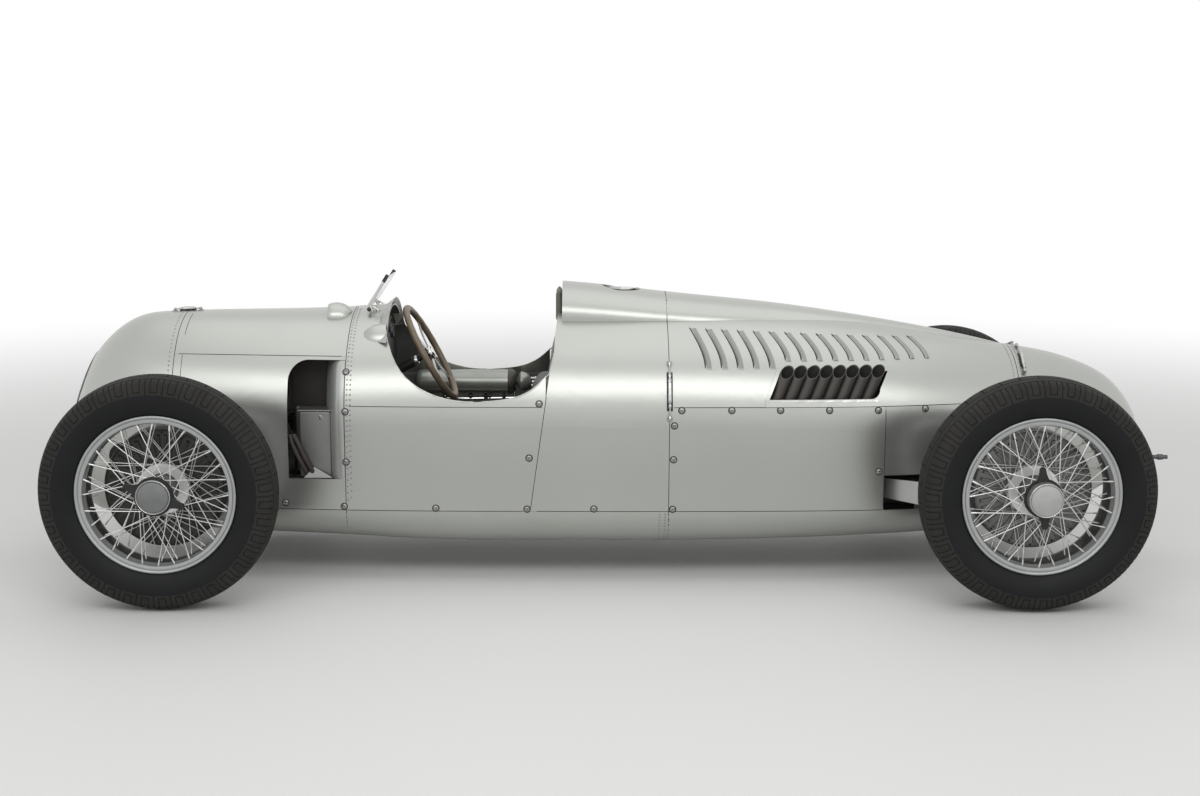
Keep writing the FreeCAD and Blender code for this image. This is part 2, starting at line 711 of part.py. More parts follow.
def louvre_hood(sections):
    """The outside of one hood: a rounded back that rises from the skin to the lip, rooted in the skin."""
    wires = []
    for front, rear, out, rise in sections:
        root = out * louvre_root
        lip = front + out * rise
        back = rear + out * (rise * louvre_back_share)
        shoulder = front + (rear - front) * (1 - louvre_shoulder_share) + out * rise
        wires.append(Part.Wire([curve([rear - root, back, shoulder, lip]), Part.makeLine(lip, front - root),
                                Part.makeLine(front - root, rear - root)]))
    return Part.makeLoft(wires, True, False)


def louvre_hollow(sections):
    """The inside of one hood and its slot through the skin, without the hood's two closed ends."""
    wires = []
    for front, rear, out, rise in sections[1:-1]:
        lead = (front - rear).normalize() * louvre_lead
        deep = out * louvre_mouth_depth
        points = [front + lead + out * (rise - louvre_sheet), front + lead - deep, rear + lead - deep]
        wires.append(Part.makePolygon(points + points[:1]))
    return Part.makeLoft(wires, True, False)


hoods = []
hollows = []
bare_hull = hull_solid(0)
for i in range(louvre_count):
    louvre = louvre_sections(bare_hull, i)
    hoods.append(louvre_hood(louvre))
    hollows.append(louvre_hollow(louvre))
engine_cover = engine_cover.multiFuse(hoods + [mirror(hood) for hood in hoods])
save("engine_cover", engine_cover.cut(hollows + [mirror(hollow) for hollow in hollows]))
save("engine_sides", shell.common(slab(engine_seam_x + half_seam, rear_seam_x - half_seam,
                                       belly_seam_height + half_seam, side_seam_height - half_seam)))
rear_sides = shell.common(slab(rear_seam_x + half_seam, tail_seam_x - half_seam,
                               belly_seam_height + half_seam, side_seam_height - half_seam))
rear_sides = rear_sides.cut(slab(rear_seam_x - half_seam, rear_axle_x, 0, arm_hole_high)).cut(axle_hole)
save("rear_sides", rear_sides)
starter_radius = 8.0
starter_height = 372.0
starter_hole = Part.makeCylinder(starter_radius + moving_gap, body_length,
                                 vec(rear_axle_x, 0, starter_height), X_AXIS)
save("tail_cone", shell.common(slab(tail_seam_x + half_seam, tail_x + overrun, 0, sky)).cut(starter_hole))
save("belly_pan_front", shell.common(slab(nose_seam_x + half_seam, engine_seam_x - half_seam, 0,
                                          belly_seam_height - half_seam)))
save("belly_pan_rear", shell.common(slab(engine_seam_x + half_seam, tail_seam_x - half_seam, 0,
                                         belly_seam_height - half_seam)))

# Frame: two long tubes joined by cross tubes
frame_wall = 4.0
cross_tube_radius = 30.0
cross_tube_shares = (0.10, 0.52, 0.97)
frame_length = frame_rear_x - frame_front_x


def cross_tube_forms(gap):
    """The bars that tie the two long tubes together."""
    return [Part.makeCylinder(cross_tube_radius + gap, 2 * frame_tube_y,
                              vec(frame_front_x + share * frame_length, -frame_tube_y, frame_tube_height),
                              Y_AXIS) for share in cross_tube_shares]


tube_bores = frame_tube_forms(-frame_wall)
frame = fused(frame_tube_forms(0) + cross_tube_forms(0))
save("frame_tubes", frame.cut(tube_bores[0]).cut(tube_bores[1]))

# Engine, gearbox and final drive as one plain block, and the starter shaft out of the tail
engine_front_gap = 60.0
engine_length = 860.0
engine_half_shares = (0.55, 0.55, 1.00, 0.86)
engine_half_width = 250.0
engine_heights = (190.0, 400.0, 600.0, 770.0)
gearbox_half_width = 112.0
gearbox_low = 280.0
gearbox_high = 500.0
gearbox_tail = 110.0
engine_x = engine_seam_x + engine_front_gap
outline = [(share * engine_half_width, z) for share, z in zip(engine_half_shares, engine_heights)]
section = [vec(engine_x, y, z) for y, z in outline] + [vec(engine_x, -y, z) for y, z in reversed(outline)]
engine = plate(section, vec(engine_length, 0, 0))
gearbox = box(engine_x + engine_length, rear_axle_x + gearbox_tail, -gearbox_half_width, gearbox_half_width,
              gearbox_low, gearbox_high)
engine = engine.fuse(gearbox)
for bar in frame_tube_forms(seat_gap) + cross_tube_forms(seat_gap):
    engine = engine.cut(bar)
save("engine_block", engine)
starter_claw_radius = 11.0
starter_claw_length = 18.0
starter_x = rear_axle_x + gearbox_tail + seat_gap
starter_end = tail_x + starter_reach
starter = Part.makeCylinder(starter_radius, starter_end - starter_x, vec(starter_x, 0, starter_height), X_AXIS)
claw = Part.makeCylinder(starter_claw_radius, starter_claw_length,
                         vec(starter_end - 2 * starter_claw_length, 0, starter_height), X_AXIS)
save("starter_shaft", starter.fuse(claw).removeSplitter())

# Stubs from the block's ports to the openings
exhaust_port_y = engine_half_width - exhaust_radius


def bent_bar(points, radius):
    """A bar through three points, its bend filled by a ball."""
    ball = Part.makeSphere(radius, points[1])
    return rod(points[0], points[1], radius).fuse(ball).fuse(rod(points[1], points[2], radius))


stubs = []
mouth_cut = box(-half_width, half_width, -half_width, half_width, 0, half_width)
mouth_cut.rotate(vec(0, 0, 0), X_AXIS, -45)
for i in range(exhaust_count):
    elbow, top = stub_route(i)
    route = [vec(elbow.x, exhaust_port_y, exhaust_elbow_height), elbow, top]
    stub = bent_bar(route, exhaust_radius).cut(bent_bar(route, exhaust_radius - exhaust_wall)).cut(engine)
    above = mouth_cut.copy()
    above.translate(vec(elbow.x, elbow.y, exhaust_mouth_height))
    stub = max(stub.cut(above).Solids, key=lambda solid: solid.Volume)
    stubs += [stub, mirror(stub)]
save("exhaust_stubs", *stubs)

# Front axle: two tubes across the nose, with trailing arms to the kingpins
front_axle = []
for side in (-1, 1):
    height = axle_height + side * arm_spacing
    front_axle.append(Part.makeCylinder(arm_tube_radius, 2 * arm_outer_y,
                                        vec(arm_tube_x, -arm_outer_y, height), Y_AXIS))
    for name, hand in SIDES:
        y0, y1 = sorted((hand * (arm_outer_y - arm_width), hand * arm_outer_y))
        eye = Part.makeCylinder(arm_eye_radius, arm_width, vec(arm_tube_x, y0, height), Y_AXIS)
        heel = Part.makeCylinder(boss_radius, arm_width, vec(front_axle_x, y0, height), Y_AXIS)
        web = plate([vec(arm_tube_x, y0, height - arm_eye_radius), vec(front_axle_x, y0, height - boss_radius),
                     vec(front_axle_x, y0, height + boss_radius), vec(arm_tube_x, y0, height + arm_eye_radius)],
                    vec(0, arm_width, 0))
        b0, b1 = sorted((hand * (arm_outer_y - arm_width), hand * kingpin_y))
        bridge = box(front_axle_x - boss_half_height, front_axle_x + boss_half_height, b0, b1,
                     height - boss_half_height, height + boss_half_height)
        boss = Part.makeCylinder(boss_radius, 2 * boss_half_height,
                                 vec(front_axle_x, hand * kingpin_y, height - boss_half_height))
        front_axle += [eye, heel, web, bridge, boss]
front_axle = fused(front_axle)
kingpin_half = arm_spacing + boss_half_height + kingpin_radius
kingpin_low = axle_height - kingpin_half
for name, hand in SIDES:
    front_axle = front_axle.cut(Part.makeCylinder(kingpin_radius + running_gap, 2 * kingpin_half,
                                                  vec(front_axle_x, hand * kingpin_y, kingpin_low)))
save("front_axle", front_axle)

# Wheels: every length across a wheel is measured outwards from the tyre's middle
rim_radius = 263.5
rim_seat_radius = 241.0
rim_wall = 5.0
rim_lip = 6.0
hub_radius = 48.0
hub_flange_radius = 60.0
hub_disc_radius = 86.0
hub_flange = 9.0
hub_face_reach = 8.0
nut_radius = 57.0
nut_ring_radius = 65.0
nut_ring_depth = 8.0
nut_bevel = 2.0
nut_face_radius = 51.0
nut_dome = 6.0
ear_reach = 105.0
ear_width = 60.0
ear_tip_radius = 12.0
ear_thickness = 12.0
hub_inset = 115.0
spoke_count = 28
spoke_width = 4.4
spoke_step = 5.6
spoke_sweep = 56.0
inner_sweep = 52.0
drum_wall = 8.0
drum_bore_radius = 38.0
stub_radius = 24.0
brake_gap = 5.0
tread_half_share = 0.86
shoulder_radius_share = 0.955
sidewall_share = 0.60


def turned(points, x, y):
    """A solid of revolution about a wheel's axis, from radii and distances outwards."""
    corners = [vec(x + radius, y + out, axle_height) for radius, out in points]
    face = Part.Face(Part.makePolygon(corners + corners[:1]))
    return face.revolve(vec(x, y, axle_height), Y_AXIS, 360)


def spoke(x, y, inner, outer):
    """A square wire from the hub to the rim; each end is a radius, an angle and a distance out."""
    ends = [vec(x + radius * math.cos(math.radians(angle)), y + out,
                axle_height + radius * math.sin(math.radians(angle))) for radius, angle, out in (inner, outer)]
    run = ends[1].sub(ends[0])
    across = run.cross(Y_AXIS).normalize().multiply(spoke_width / 2)
    along = run.cross(across).normalize().multiply(spoke_width / 2)
    corners = [ends[0].add(across).add(along), ends[0].sub(across).add(along),
               ends[0].sub(across).sub(along), ends[0].add(across).sub(along)]
    return plate(corners, run)


def tyre_form(x, y, half, rim_half):
    """The tyre: crown, shoulders, bulging walls and beads between the rim's lips."""
    bead = rim_half - rim_lip - seat_gap
    inner = rim_seat_radius + seat_gap
    shoulder = wheel_radius * shoulder_radius_share
    bulge = inner + (wheel_radius - inner) * sidewall_share
    tread = half * tread_half_share
    right = [vec(x + inner, y + bead, axle_height), vec(x + rim_radius + seat_gap, y + bead, axle_height),
             vec(x + bulge, y + half, axle_height), vec(x + shoulder, y + tread, axle_height)]
    left = [vec(point.x, 2 * y - point.y, axle_height) for point in right]
    crown = vec(x + wheel_radius, y, axle_height)
    wall = Part.BSplineCurve()
    wall.interpolate(right[1:])
    other = Part.BSplineCurve()
    other.interpolate(left[:0:-1])
    tread_arc = Part.Arc(right[3], crown, left[3])
    edges = [Part.makeLine(left[0], right[0]), Part.makeLine(right[0], right[1]), wall.toShape(),
             tread_arc.toShape(), other.toShape(), Part.makeLine(left[1], left[0])]
    return Part.Face(Part.Wire(edges)).revolve(vec(x, y, axle_height), Y_AXIS, 360)


def wheel_form(x, y, rim_half, nut_reach):
    """Rim, hub and three rows of crossed wire spokes in one, and the knock-off nut."""
    seat = rim_seat_radius
    rim = turned([(seat - rim_wall, -rim_half), (rim_radius, -rim_half), (rim_radius, -rim_half + rim_lip),
                  (seat, -rim_half + rim_wall), (seat, rim_half - rim_wall), (rim_radius, rim_half - rim_lip),
                  (rim_radius, rim_half), (seat - rim_wall, rim_half)], x, y)
    hub_in = rim_half - hub_inset
    hub_out = rim_half + hub_face_reach
    bore = stub_radius + running_gap
    step_in = hub_in + hub_flange
    step_out = hub_out - hub_flange
    hub = turned([(bore, hub_in), (hub_disc_radius, hub_in), (hub_disc_radius, step_in),
                  (hub_radius, step_in), (hub_radius, step_out), (hub_flange_radius, step_out),
                  (hub_flange_radius, hub_out), (bore, hub_out)], x, y)
    outer_root = hub_flange_radius - spoke_width
    inner_root = hub_disc_radius - spoke_width
    rim_foot = seat - rim_wall / 2
    rows = ((outer_root, spoke_sweep, hub_out - hub_flange / 2, rim_half - rim_wall - spoke_step, 0),
            (inner_root, inner_sweep, hub_in + hub_flange / 2, spoke_step, 0),
            (inner_root, inner_sweep, hub_in + hub_flange / 2, hub_in + 2 * spoke_step, 0.5))
    wires = []
    pitch = 360 / spoke_count
    for root, sweep, out_hub, out_rim, offset in rows:
        for i in range(spoke_count):
            hand = 1 if i % 2 else -1
            angle = (i + offset) * pitch
            step = hand * spoke_step / 2
            wires.append(spoke(x, y, (root, angle + hand * sweep, out_hub + step / 2),
                               (rim_foot, angle, out_rim + step)))
    wheel = rim.multiFuse([hub] + wires)
    nut_face = rim_half + nut_reach
    nut_back = hub_out + seat_gap
    ring_face = nut_back + nut_ring_depth
    shoulder = nut_face - nut_dome
    places = [(0, nut_back), (nut_ring_radius, nut_back), (nut_ring_radius, ring_face),
              (nut_radius, ring_face),
              (nut_radius, shoulder - nut_bevel), (nut_radius - nut_bevel, shoulder), (nut_face_radius, shoulder)]
    corners = [vec(x + radius, y + out, axle_height) for radius, out in places]
    dome_radius = (nut_face_radius ** 2 + nut_dome ** 2) / (2 * nut_dome)
    half_fall = dome_radius - math.sqrt(dome_radius ** 2 - nut_face_radius ** 2 / 4)
    middle = vec(x + nut_face_radius / 2, y + nut_face - half_fall, axle_height)
    peak = vec(x, y + nut_face, axle_height)
    edges = [Part.makePolygon(corners), Part.Arc(corners[-1], middle, peak).toShape(),
             Part.makeLine(peak, corners[0])]
    nut = Part.Face(Part.Wire(edges[0].Edges + edges[1:])).revolve(vec(x, y, axle_height), Y_AXIS, 360)
    return wheel, nut, nut_back


def nut_ears(x, y, nut_back, tilt):
    """The nut's two ears, broad at the ring and rounded at their tips."""
    ears = []
    for turn in (0, math.pi):
        angle = math.radians(tilt) + turn
        reach = vec(math.cos(angle), 0, math.sin(angle))
        across = vec(-reach.z, 0, reach.x)
        centre = vec(x, y + nut_back, axle_height)
        tip = centre + reach * (ear_reach - ear_tip_radius)
        foot = across * (ear_width / 2)
        side = across * ear_tip_radius
        ears.append(plate([centre + foot, tip + side, tip - side, centre - foot], vec(0, ear_thickness, 0)))
        ears.append(Part.makeCylinder(ear_tip_radius, ear_thickness, tip, Y_AXIS))
    return ears


def drum_form(x, y, hub_in):
    """The brake drum: a cup open towards the car, with a cooling rib round its edge."""
    back = brake_plate_inner_y + brake_plate_thickness + brake_gap - y
    front = hub_in - seat_gap
    return turned([(drum_radius - drum_wall, back), (drum_radius + drum_wall, back),
                   (drum_radius + drum_wall, back + drum_wall), (drum_radius, back + drum_wall),
                   (drum_radius, front), (drum_bore_radius, front), (drum_bore_radius, front - drum_wall),
                   (drum_radius - drum_wall, front - drum_wall)], x, y)


# Columns: axle, place, tyre's half width, rim's half width, how far the nut stands out, tilt of its ears
axle_specs = (
    ("front", front_axle_x, 76.0, 58.0, 35.0, -20.0),
    ("rear", rear_axle_x, 90.0, 69.6, 56.0, 95.0),
)
wheel_y = track / 2
hub_faces = {}
for name, x, tyre_half, rim_half, nut_reach, ear_tilt in axle_specs:
    tyre = tyre_form(x, wheel_y, tyre_half, rim_half)
    wheel, nut, nut_back = wheel_form(x, wheel_y, rim_half, nut_reach)
    nut = fused([nut] + nut_ears(x, wheel_y, nut_back, ear_tilt))
    drum = drum_form(x, wheel_y, rim_half - hub_inset)
    hub_faces[name] = wheel_y + rim_half + hub_face_reach
    for hand_name, hand in SIDES:
        label = "_" + name + "_" + hand_name
        for piece, form in (("tyre", tyre), ("wire_wheel", wheel), ("hub_nut", nut), ("brake_drum", drum)):
            save(piece + label, mirror(form) if hand == LEFT else form)

# Front knuckles: kingpin, stub axle, brake plate and steering arm
stub_end_gap = 12.0
steering_arm_half = 11.0
steering_arm_rise = 22.0
ball_pin_radius = 8.0
eye_radius = 17.0
eye_half = 10.0
plate_radius = drum_radius + drum_wall
knuckle_half = arm_spacing - boss_half_height - seat_gap
steering_eye_height = track_rod_height - eye_half - seat_gap
pin_top = track_rod_height + eye_half + ball_pin_radius


def brake_plate(x):
    """A round dished plate that closes the drum's open side."""
    return Part.makeCylinder(plate_radius, brake_plate_thickness,
                             vec(x, brake_plate_inner_y, axle_height), Y_AXIS)


def knuckle_form():
    """The right-hand knuckle."""
    post = Part.makeCylinder(boss_radius, 2 * knuckle_half,
                             vec(front_axle_x, kingpin_y, axle_height - knuckle_half))
    pin = Part.makeCylinder(kingpin_radius, 2 * kingpin_half, vec(front_axle_x, kingpin_y, kingpin_low))
    stub = Part.makeCylinder(stub_radius, hub_faces["front"] - stub_end_gap - kingpin_y,
                             vec(front_axle_x, kingpin_y, axle_height), Y_AXIS)
    low = steering_eye_height - steering_arm_rise
    arm = box(front_axle_x, track_rod_x, kingpin_y - steering_arm_half, kingpin_y + steering_arm_half,
              low, steering_eye_height)
    eye = Part.makeCylinder(eye_radius, steering_arm_rise, vec(track_rod_x, kingpin_y, low))
    ball_pin = Part.makeCylinder(ball_pin_radius, pin_top - low, vec(track_rod_x, kingpin_y, low))
    return fused([post, pin, stub, brake_plate(front_axle_x), arm, eye, ball_pin])


knuckle = knuckle_form()
save("knuckle_right", knuckle)
save("knuckle_left", mirror(knuckle))

# Track rod: a bar between the two steering arms, its left eye a running fit, its right eye open
open_eye_gap = 1.0
track_rod = [rod(vec(track_rod_x, -kingpin_y, track_rod_height),
                 vec(track_rod_x, kingpin_y, track_rod_height), track_rod_radius)]
eye_height = track_rod_height - eye_half
for name, hand in SIDES:
    track_rod.append(Part.makeCylinder(eye_radius, 2 * eye_half,
                                       vec(track_rod_x, hand * kingpin_y, eye_height)))
track_rod = fused(track_rod)
for hand, gap in ((LEFT, running_gap), (RIGHT, open_eye_gap)):
    track_rod = track_rod.cut(Part.makeCylinder(ball_pin_radius + gap, 4 * eye_half,
                                                vec(track_rod_x, hand * kingpin_y, eye_height - eye_half)))
save("track_rod", track_rod)

# Rear axle: swing tubes from the final drive, brake plates and stubs
swing_inner_y = gearbox_half_width + seat_gap
rear_axle = []
for name, hand in SIDES:
    half = [Part.makeCylinder(swing_tube_radius, brake_plate_inner_y - swing_inner_y,
                              vec(rear_axle_x, swing_inner_y, axle_height), Y_AXIS),
            brake_plate(rear_axle_x),
            Part.makeCylinder(stub_radius, hub_faces["rear"] - stub_end_gap - brake_plate_inner_y,
                              vec(rear_axle_x, brake_plate_inner_y, axle_height), Y_AXIS)]
    half = fused(half)
    rear_axle.append(mirror(half) if hand == LEFT else half)
save("rear_axle", *rear_axle)

# Radius arms: tapering plates from the frame back to the brake plates
arm_front_lap = 8.0
arm_rear_lead = 60.0
arm_front_x = rear_seam_x - arm_front_lap
arm_front_y = frame_tube_y + frame_tube_radius + seat_gap
arm_rear_x = rear_axle_x - arm_rear_lead
arm_front_low = 288.0
arm_front_high = 356.0
arm_rear_low = 257.0
arm_rear_high = 364.0
arm_sheet = 9.0
arm_rear_y = brake_plate_inner_y - seat_gap
radius_arms = []
for name, hand in SIDES:
    lean = [vec(arm_front_x, arm_front_y, arm_front_low),
            vec(arm_rear_x, arm_rear_y - arm_sheet, arm_rear_low),
            vec(arm_rear_x, arm_rear_y - arm_sheet, arm_rear_high), vec(arm_front_x, arm_front_y, arm_front_high)]
    arm = plate(lean, vec(0, arm_sheet, 0))
    radius_arms.append(mirror(arm) if hand == LEFT else arm)
save("radius_arms", *radius_arms)

# Steering wheel on its shaft, the column's tube and the steering box
column_angle = math.radians(28.2)
wheel_setback = 833.0
wheel_height = 762.0
wheel_centre = vec(front_axle_x + wheel_setback, 0, wheel_height)
wheel_ring_radius = 183.0
wheel_grip_radius = 14.0
wheel_hub_radius = 26.0
wheel_hub_depth = 30.0
wheel_spoke_radius = 5.0
wheel_spoke_count = 4
shaft_radius = 10.0
column_radius = 18.0
column_wall = 3.0
column_setback = 74.0
box_length = 90.0
box_half_width = 38.0
box_half_height = 42.0
box_lead = 315.0
dash_lead = 40.0
toward_driver = vec(math.cos(column_angle), 0, math.sin(column_angle))
shaft_length = (wheel_centre.x - front_axle_x - box_lead) / toward_driver.x


def along_column(distance):
    """A point on the column's axis, measured forward from the steering wheel's centre."""
    return wheel_centre.sub(vec(toward_driver.x, 0, toward_driver.z).multiply(distance))


grip = Part.makeTorus(wheel_ring_radius, wheel_grip_radius, wheel_centre, toward_driver)
hub = rod(along_column(wheel_hub_depth / 2), along_column(-wheel_hub_depth / 2), wheel_hub_radius)
up = toward_driver.cross(Y_AXIS)
wheel_bars = []
for i in range(wheel_spoke_count):
    turn = math.pi * (2 * i + 1) / wheel_spoke_count
    reach = vec(up.x, up.y, up.z).multiply(math.cos(turn) * wheel_ring_radius)
    reach = reach.add(vec(0, math.sin(turn) * wheel_ring_radius, 0))
    wheel_bars.append(rod(wheel_centre, wheel_centre.add(reach), wheel_spoke_radius))
shaft = rod(along_column(0), along_column(shaft_length), shaft_radius)
save("steering_wheel", fused([grip, hub, shaft] + wheel_bars))

box_bore = rod(along_column(0), along_column(shaft_length + moving_gap), shaft_radius + running_gap)
steering_box = box(-box_length, 0, -box_half_width, box_half_width,
                   -box_half_height, box_half_height)
steering_box.rotate(vec(0, 0, 0), Y_AXIS, -math.degrees(column_angle))
steering_box.translate(along_column(shaft_length - box_length))
tube = rod(along_column(column_setback), along_column(shaft_length - box_length), column_radius)
tube = tube.cut(rod(along_column(0), along_column(shaft_length), column_radius - column_wall))
save("steering_column", steering_box.fuse(tube).cut(box_bore).removeSplitter())

# Dashboard: a plate that closes the cowl ahead of the steering wheel
dash_thickness = 3.0
dash_low = 690.0
dash_x = cockpit_front_x - dash_lead
dash = lining.common(slab(dash_x, dash_x + dash_thickness, dash_low, sky))
save("dashboard", dash.cut(rod(along_column(0), along_column(shaft_length), column_radius + seat_gap)))

# Seat: cushion, back and the pad on the head fairing's face
seat_half_width = 172.0
seat_back_half_width = 196.0
seat_setback = 860.0
seat_front_x = front_axle_x + seat_setback
seat_rear_x = bulkhead_x - seat_gap
floor_low = 196.0
floor_sheet = 3.0
seat_low = floor_low + floor_sheet + seat_gap
seat_height = 300.0
seat_back_thickness = 75.0
seat_back_lean = 45.0
seat_back_low = frame_tube_height + frame_tube_radius + moving_gap
seat_back_high = 885.0


def pad(points, depth_vector):
    """A soft block with rounded edges."""
    block = plate(points, depth_vector)
    return block.makeFillet(pad_round, block.Edges)


cushion_rear_x = seat_rear_x - seat_back_thickness - seat_back_lean
save("cockpit_floor", lining.common(slab(dash_x, seat_rear_x, floor_low, floor_low + floor_sheet)))
save("seat_cushion", pad([vec(seat_front_x, -seat_half_width, seat_low),
                          vec(cushion_rear_x, -seat_half_width, seat_low),
                          vec(cushion_rear_x, -seat_half_width, seat_height - pad_round),
                          vec(seat_front_x, -seat_half_width, seat_height + pad_round)],
                         vec(0, 2 * seat_half_width, 0)))
save("seat_back", pad([vec(cushion_rear_x, -seat_back_half_width, seat_back_low),
                       vec(seat_rear_x, -seat_back_half_width, seat_back_low),
                       vec(seat_rear_x, -seat_back_half_width, seat_back_high),
                       vec(seat_rear_x - seat_back_thickness / 2, -seat_back_half_width, seat_back_high)],
                      vec(0, 2 * seat_back_half_width, 0)))
pad_x = spine_x - seat_gap
save("head_pad", pad([vec(pad_x - head_pad_foot, -head_pad_half_width, head_pad_low),
                      vec(pad_x, -head_pad_half_width, head_pad_low),
                      vec(pad_x, -head_pad_half_width, head_pad_high),
                      vec(pad_x - head_pad_thickness, -head_pad_half_width, head_pad_high)],
                     vec(0, 2 * head_pad_half_width, 0)))

# Windscreen: a small framed pane leaning back on the cowl
screen_base_setback = 627.0
screen_tip_setback = 700.0
screen_base_height = 948.0
screen_tip_height = 1058.0
screen_base = vec(front_axle_x + screen_base_setback, 0, screen_base_height)
screen_tip = vec(front_axle_x + screen_tip_setback, 0, screen_tip_height)
screen_half_width = 112.0
screen_thickness = 5.0
screen_frame = 8.0
screen_foot = 40.0
screen_lean = screen_tip.sub(screen_base)
screen_up = vec(screen_lean.x, 0, screen_lean.z).normalize()
screen_back = vec(screen_up.z, 0, -screen_up.x)


def screen_slab(margin, thickness, low):
    """A slab in the screen's plane, drawn in from the frame's outline by a margin."""
    half = screen_half_width - margin
    foot = screen_base.add(vec(screen_up.x, 0, screen_up.z).multiply(low))
    head = screen_tip.sub(vec(screen_up.x, 0, screen_up.z).multiply(margin))
    offset = vec(screen_back.x, 0, screen_back.z).multiply(-thickness / 2)
    corners = ((foot, -half), (foot, half), (head, half), (head, -half))
    points = [point.add(offset).add(vec(0, y, 0)) for point, y in corners]
    return plate(points, vec(screen_back.x, 0, screen_back.z).multiply(thickness))


pane_slot = screen_slab(screen_frame, screen_thickness + overrun, screen_frame)
screen_ring = screen_slab(0, screen_frame, -screen_foot).cut(pane_slot)
save("windscreen_frame", screen_ring.cut(hull_skin_face))
save("windscreen_glass", screen_slab(screen_frame + seat_gap, screen_thickness, screen_frame + seat_gap))

# A round tank along the cockpit's right side, with domed ends
tank_radius = 50.0
tank_length = 300.0
tank_setback = 1090.0
tank_rear_x = front_axle_x + tank_setback
tank_y = 318.0
tank_height = 616.0
strap_width = 20.0
strap_thickness = 3.0
tank_ends = [vec(tank_rear_x - shift, tank_y, tank_height) for shift in (tank_length, 0)]
side_tank = fused([rod(tank_ends[0], tank_ends[1], tank_radius)] +
                  [Part.makeSphere(tank_radius, end) for end in tank_ends])
straps = []
for share in (0.15, 0.85):
    x = tank_rear_x - share * tank_length - strap_width / 2
    band = Part.makeCylinder(tank_radius + strap_thickness, strap_width, vec(x, tank_y, tank_height), X_AXIS)
    bracket = box(x, x + strap_width, tank_y, half_width, tank_height - strap_width / 2,
                  tank_height + strap_width / 2)
    straps += [band, bracket]
save("side_tank", fused([side_tank] + straps).common(lining))
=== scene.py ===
import math

import bpy
import numpy as np
from mathutils import Matrix, Vector
from mathutils.bvhtree import BVHTree


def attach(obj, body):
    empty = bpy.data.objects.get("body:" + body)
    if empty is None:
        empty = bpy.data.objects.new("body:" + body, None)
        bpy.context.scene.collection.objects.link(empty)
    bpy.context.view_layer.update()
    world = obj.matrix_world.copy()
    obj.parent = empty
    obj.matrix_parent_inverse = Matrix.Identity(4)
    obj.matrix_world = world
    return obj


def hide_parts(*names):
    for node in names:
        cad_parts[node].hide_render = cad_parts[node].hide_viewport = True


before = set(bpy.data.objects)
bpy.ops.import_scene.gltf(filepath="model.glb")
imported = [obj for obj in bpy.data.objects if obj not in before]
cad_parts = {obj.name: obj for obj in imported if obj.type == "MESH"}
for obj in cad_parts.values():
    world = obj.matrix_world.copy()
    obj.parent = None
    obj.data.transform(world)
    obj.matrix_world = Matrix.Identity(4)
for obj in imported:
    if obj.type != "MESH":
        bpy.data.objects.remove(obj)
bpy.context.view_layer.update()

# Frame and engine
# Two long steel tubes with cross tubes, and the engine and gearbox as one mass low behind the driver.
# The mass is painted dark and the tubes grey; they show through the outlets and from below.


def wire(tree, *links):
    """Joins sockets; each link gives a node and its output, then another node and its input."""
    for source, output, target, entry in links:
        tree.links.new(source.outputs[output], target.inputs[entry])


def new_nodes(tree, *kinds):
    """Several new shader nodes by their kinds."""
    return [tree.nodes.new("ShaderNode" + kind) for kind in kinds]


def noise_finish(name, light, dark, scale, roughness, spread, metallic, bump, bump_scale):
    """A finish that drifts between two close tones, with roughness that drifts too and a fine grain in relief."""
    finish = bpy.data.materials.new(name)
    finish.use_nodes = True
    tree = finish.node_tree
    shader = tree.nodes["Principled BSDF"]
    place, clouds, tones, rough, grain, relief = new_nodes(tree, "TexCoord", "TexNoise", "Mix", "MapRange", "TexNoise",
                                                           "Bump")
    tones.data_type = "RGBA"
    for node, entry, value in ((shader, "Metallic", metallic), (clouds, "Scale", scale), (clouds, "Detail", 6),
                               (tones, "A", (*light, 1)), (tones, "B", (*dark, 1)),
                               (rough, "To Min", roughness - spread), (rough, "To Max", roughness + spread),
                               (grain, "Scale", bump_scale), (grain, "Detail", 4), (relief, "Strength", bump),
                               (relief, "Distance", 0.001)):
        node.inputs[entry].default_value = value
    wire(tree, (place, "Object", clouds, "Vector"), (place, "Object", grain, "Vector"),
         (clouds, "Fac", tones, "Factor"), (tones, "Result", shader, "Base Color"), (clouds, "Fac", rough, "Value"),
         (rough, "Result", shader, "Roughness"), (grain, "Fac", relief, "Height"),
         (relief, "Normal", shader, "Normal"))
    return finish


def coat(finish, *names):
    """Puts one finish on several sub-parts of the frame."""
    for name in names:
        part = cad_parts[name]
        part.data.materials.clear()
        part.data.materials.append(finish)


coat(noise_finish("dark_frame_paint", (0.05, 0.05, 0.05), (0.025, 0.025, 0.026), 6, 0.5, 0.12, 0.3, 0.25, 180),
     "engine_block")
coat(noise_finish("frame_enamel", (0.34, 0.345, 0.335), (0.25, 0.255, 0.25), 12, 0.4, 0.08, 0.7, 0.2, 200),
     "frame_tubes")

# Body panels
# Hand-beaten aluminium sheets over the frame, in a satin silver lacquer with a slightly warm cast.
# They meet at fine open seams, shown by dark strips of painted shadow, and are held by rivets, round-headed screws and
# strap latches.
silver_paint = noise_finish("silver_lacquer", (0.475, 0.485, 0.458), (0.405, 0.415, 0.388), 2.2, 0.33, 0.05, 0.92,
                            0.05, 900)
body_panels = ("nose_cowl", "bonnet_top", "bonnet_sides", "cockpit_cowl", "cockpit_sides", "tank_cover",
               "engine_cover", "engine_sides", "rear_sides", "tail_cone", "belly_pan_front", "belly_pan_rear")
coat(silver_paint, *body_panels)

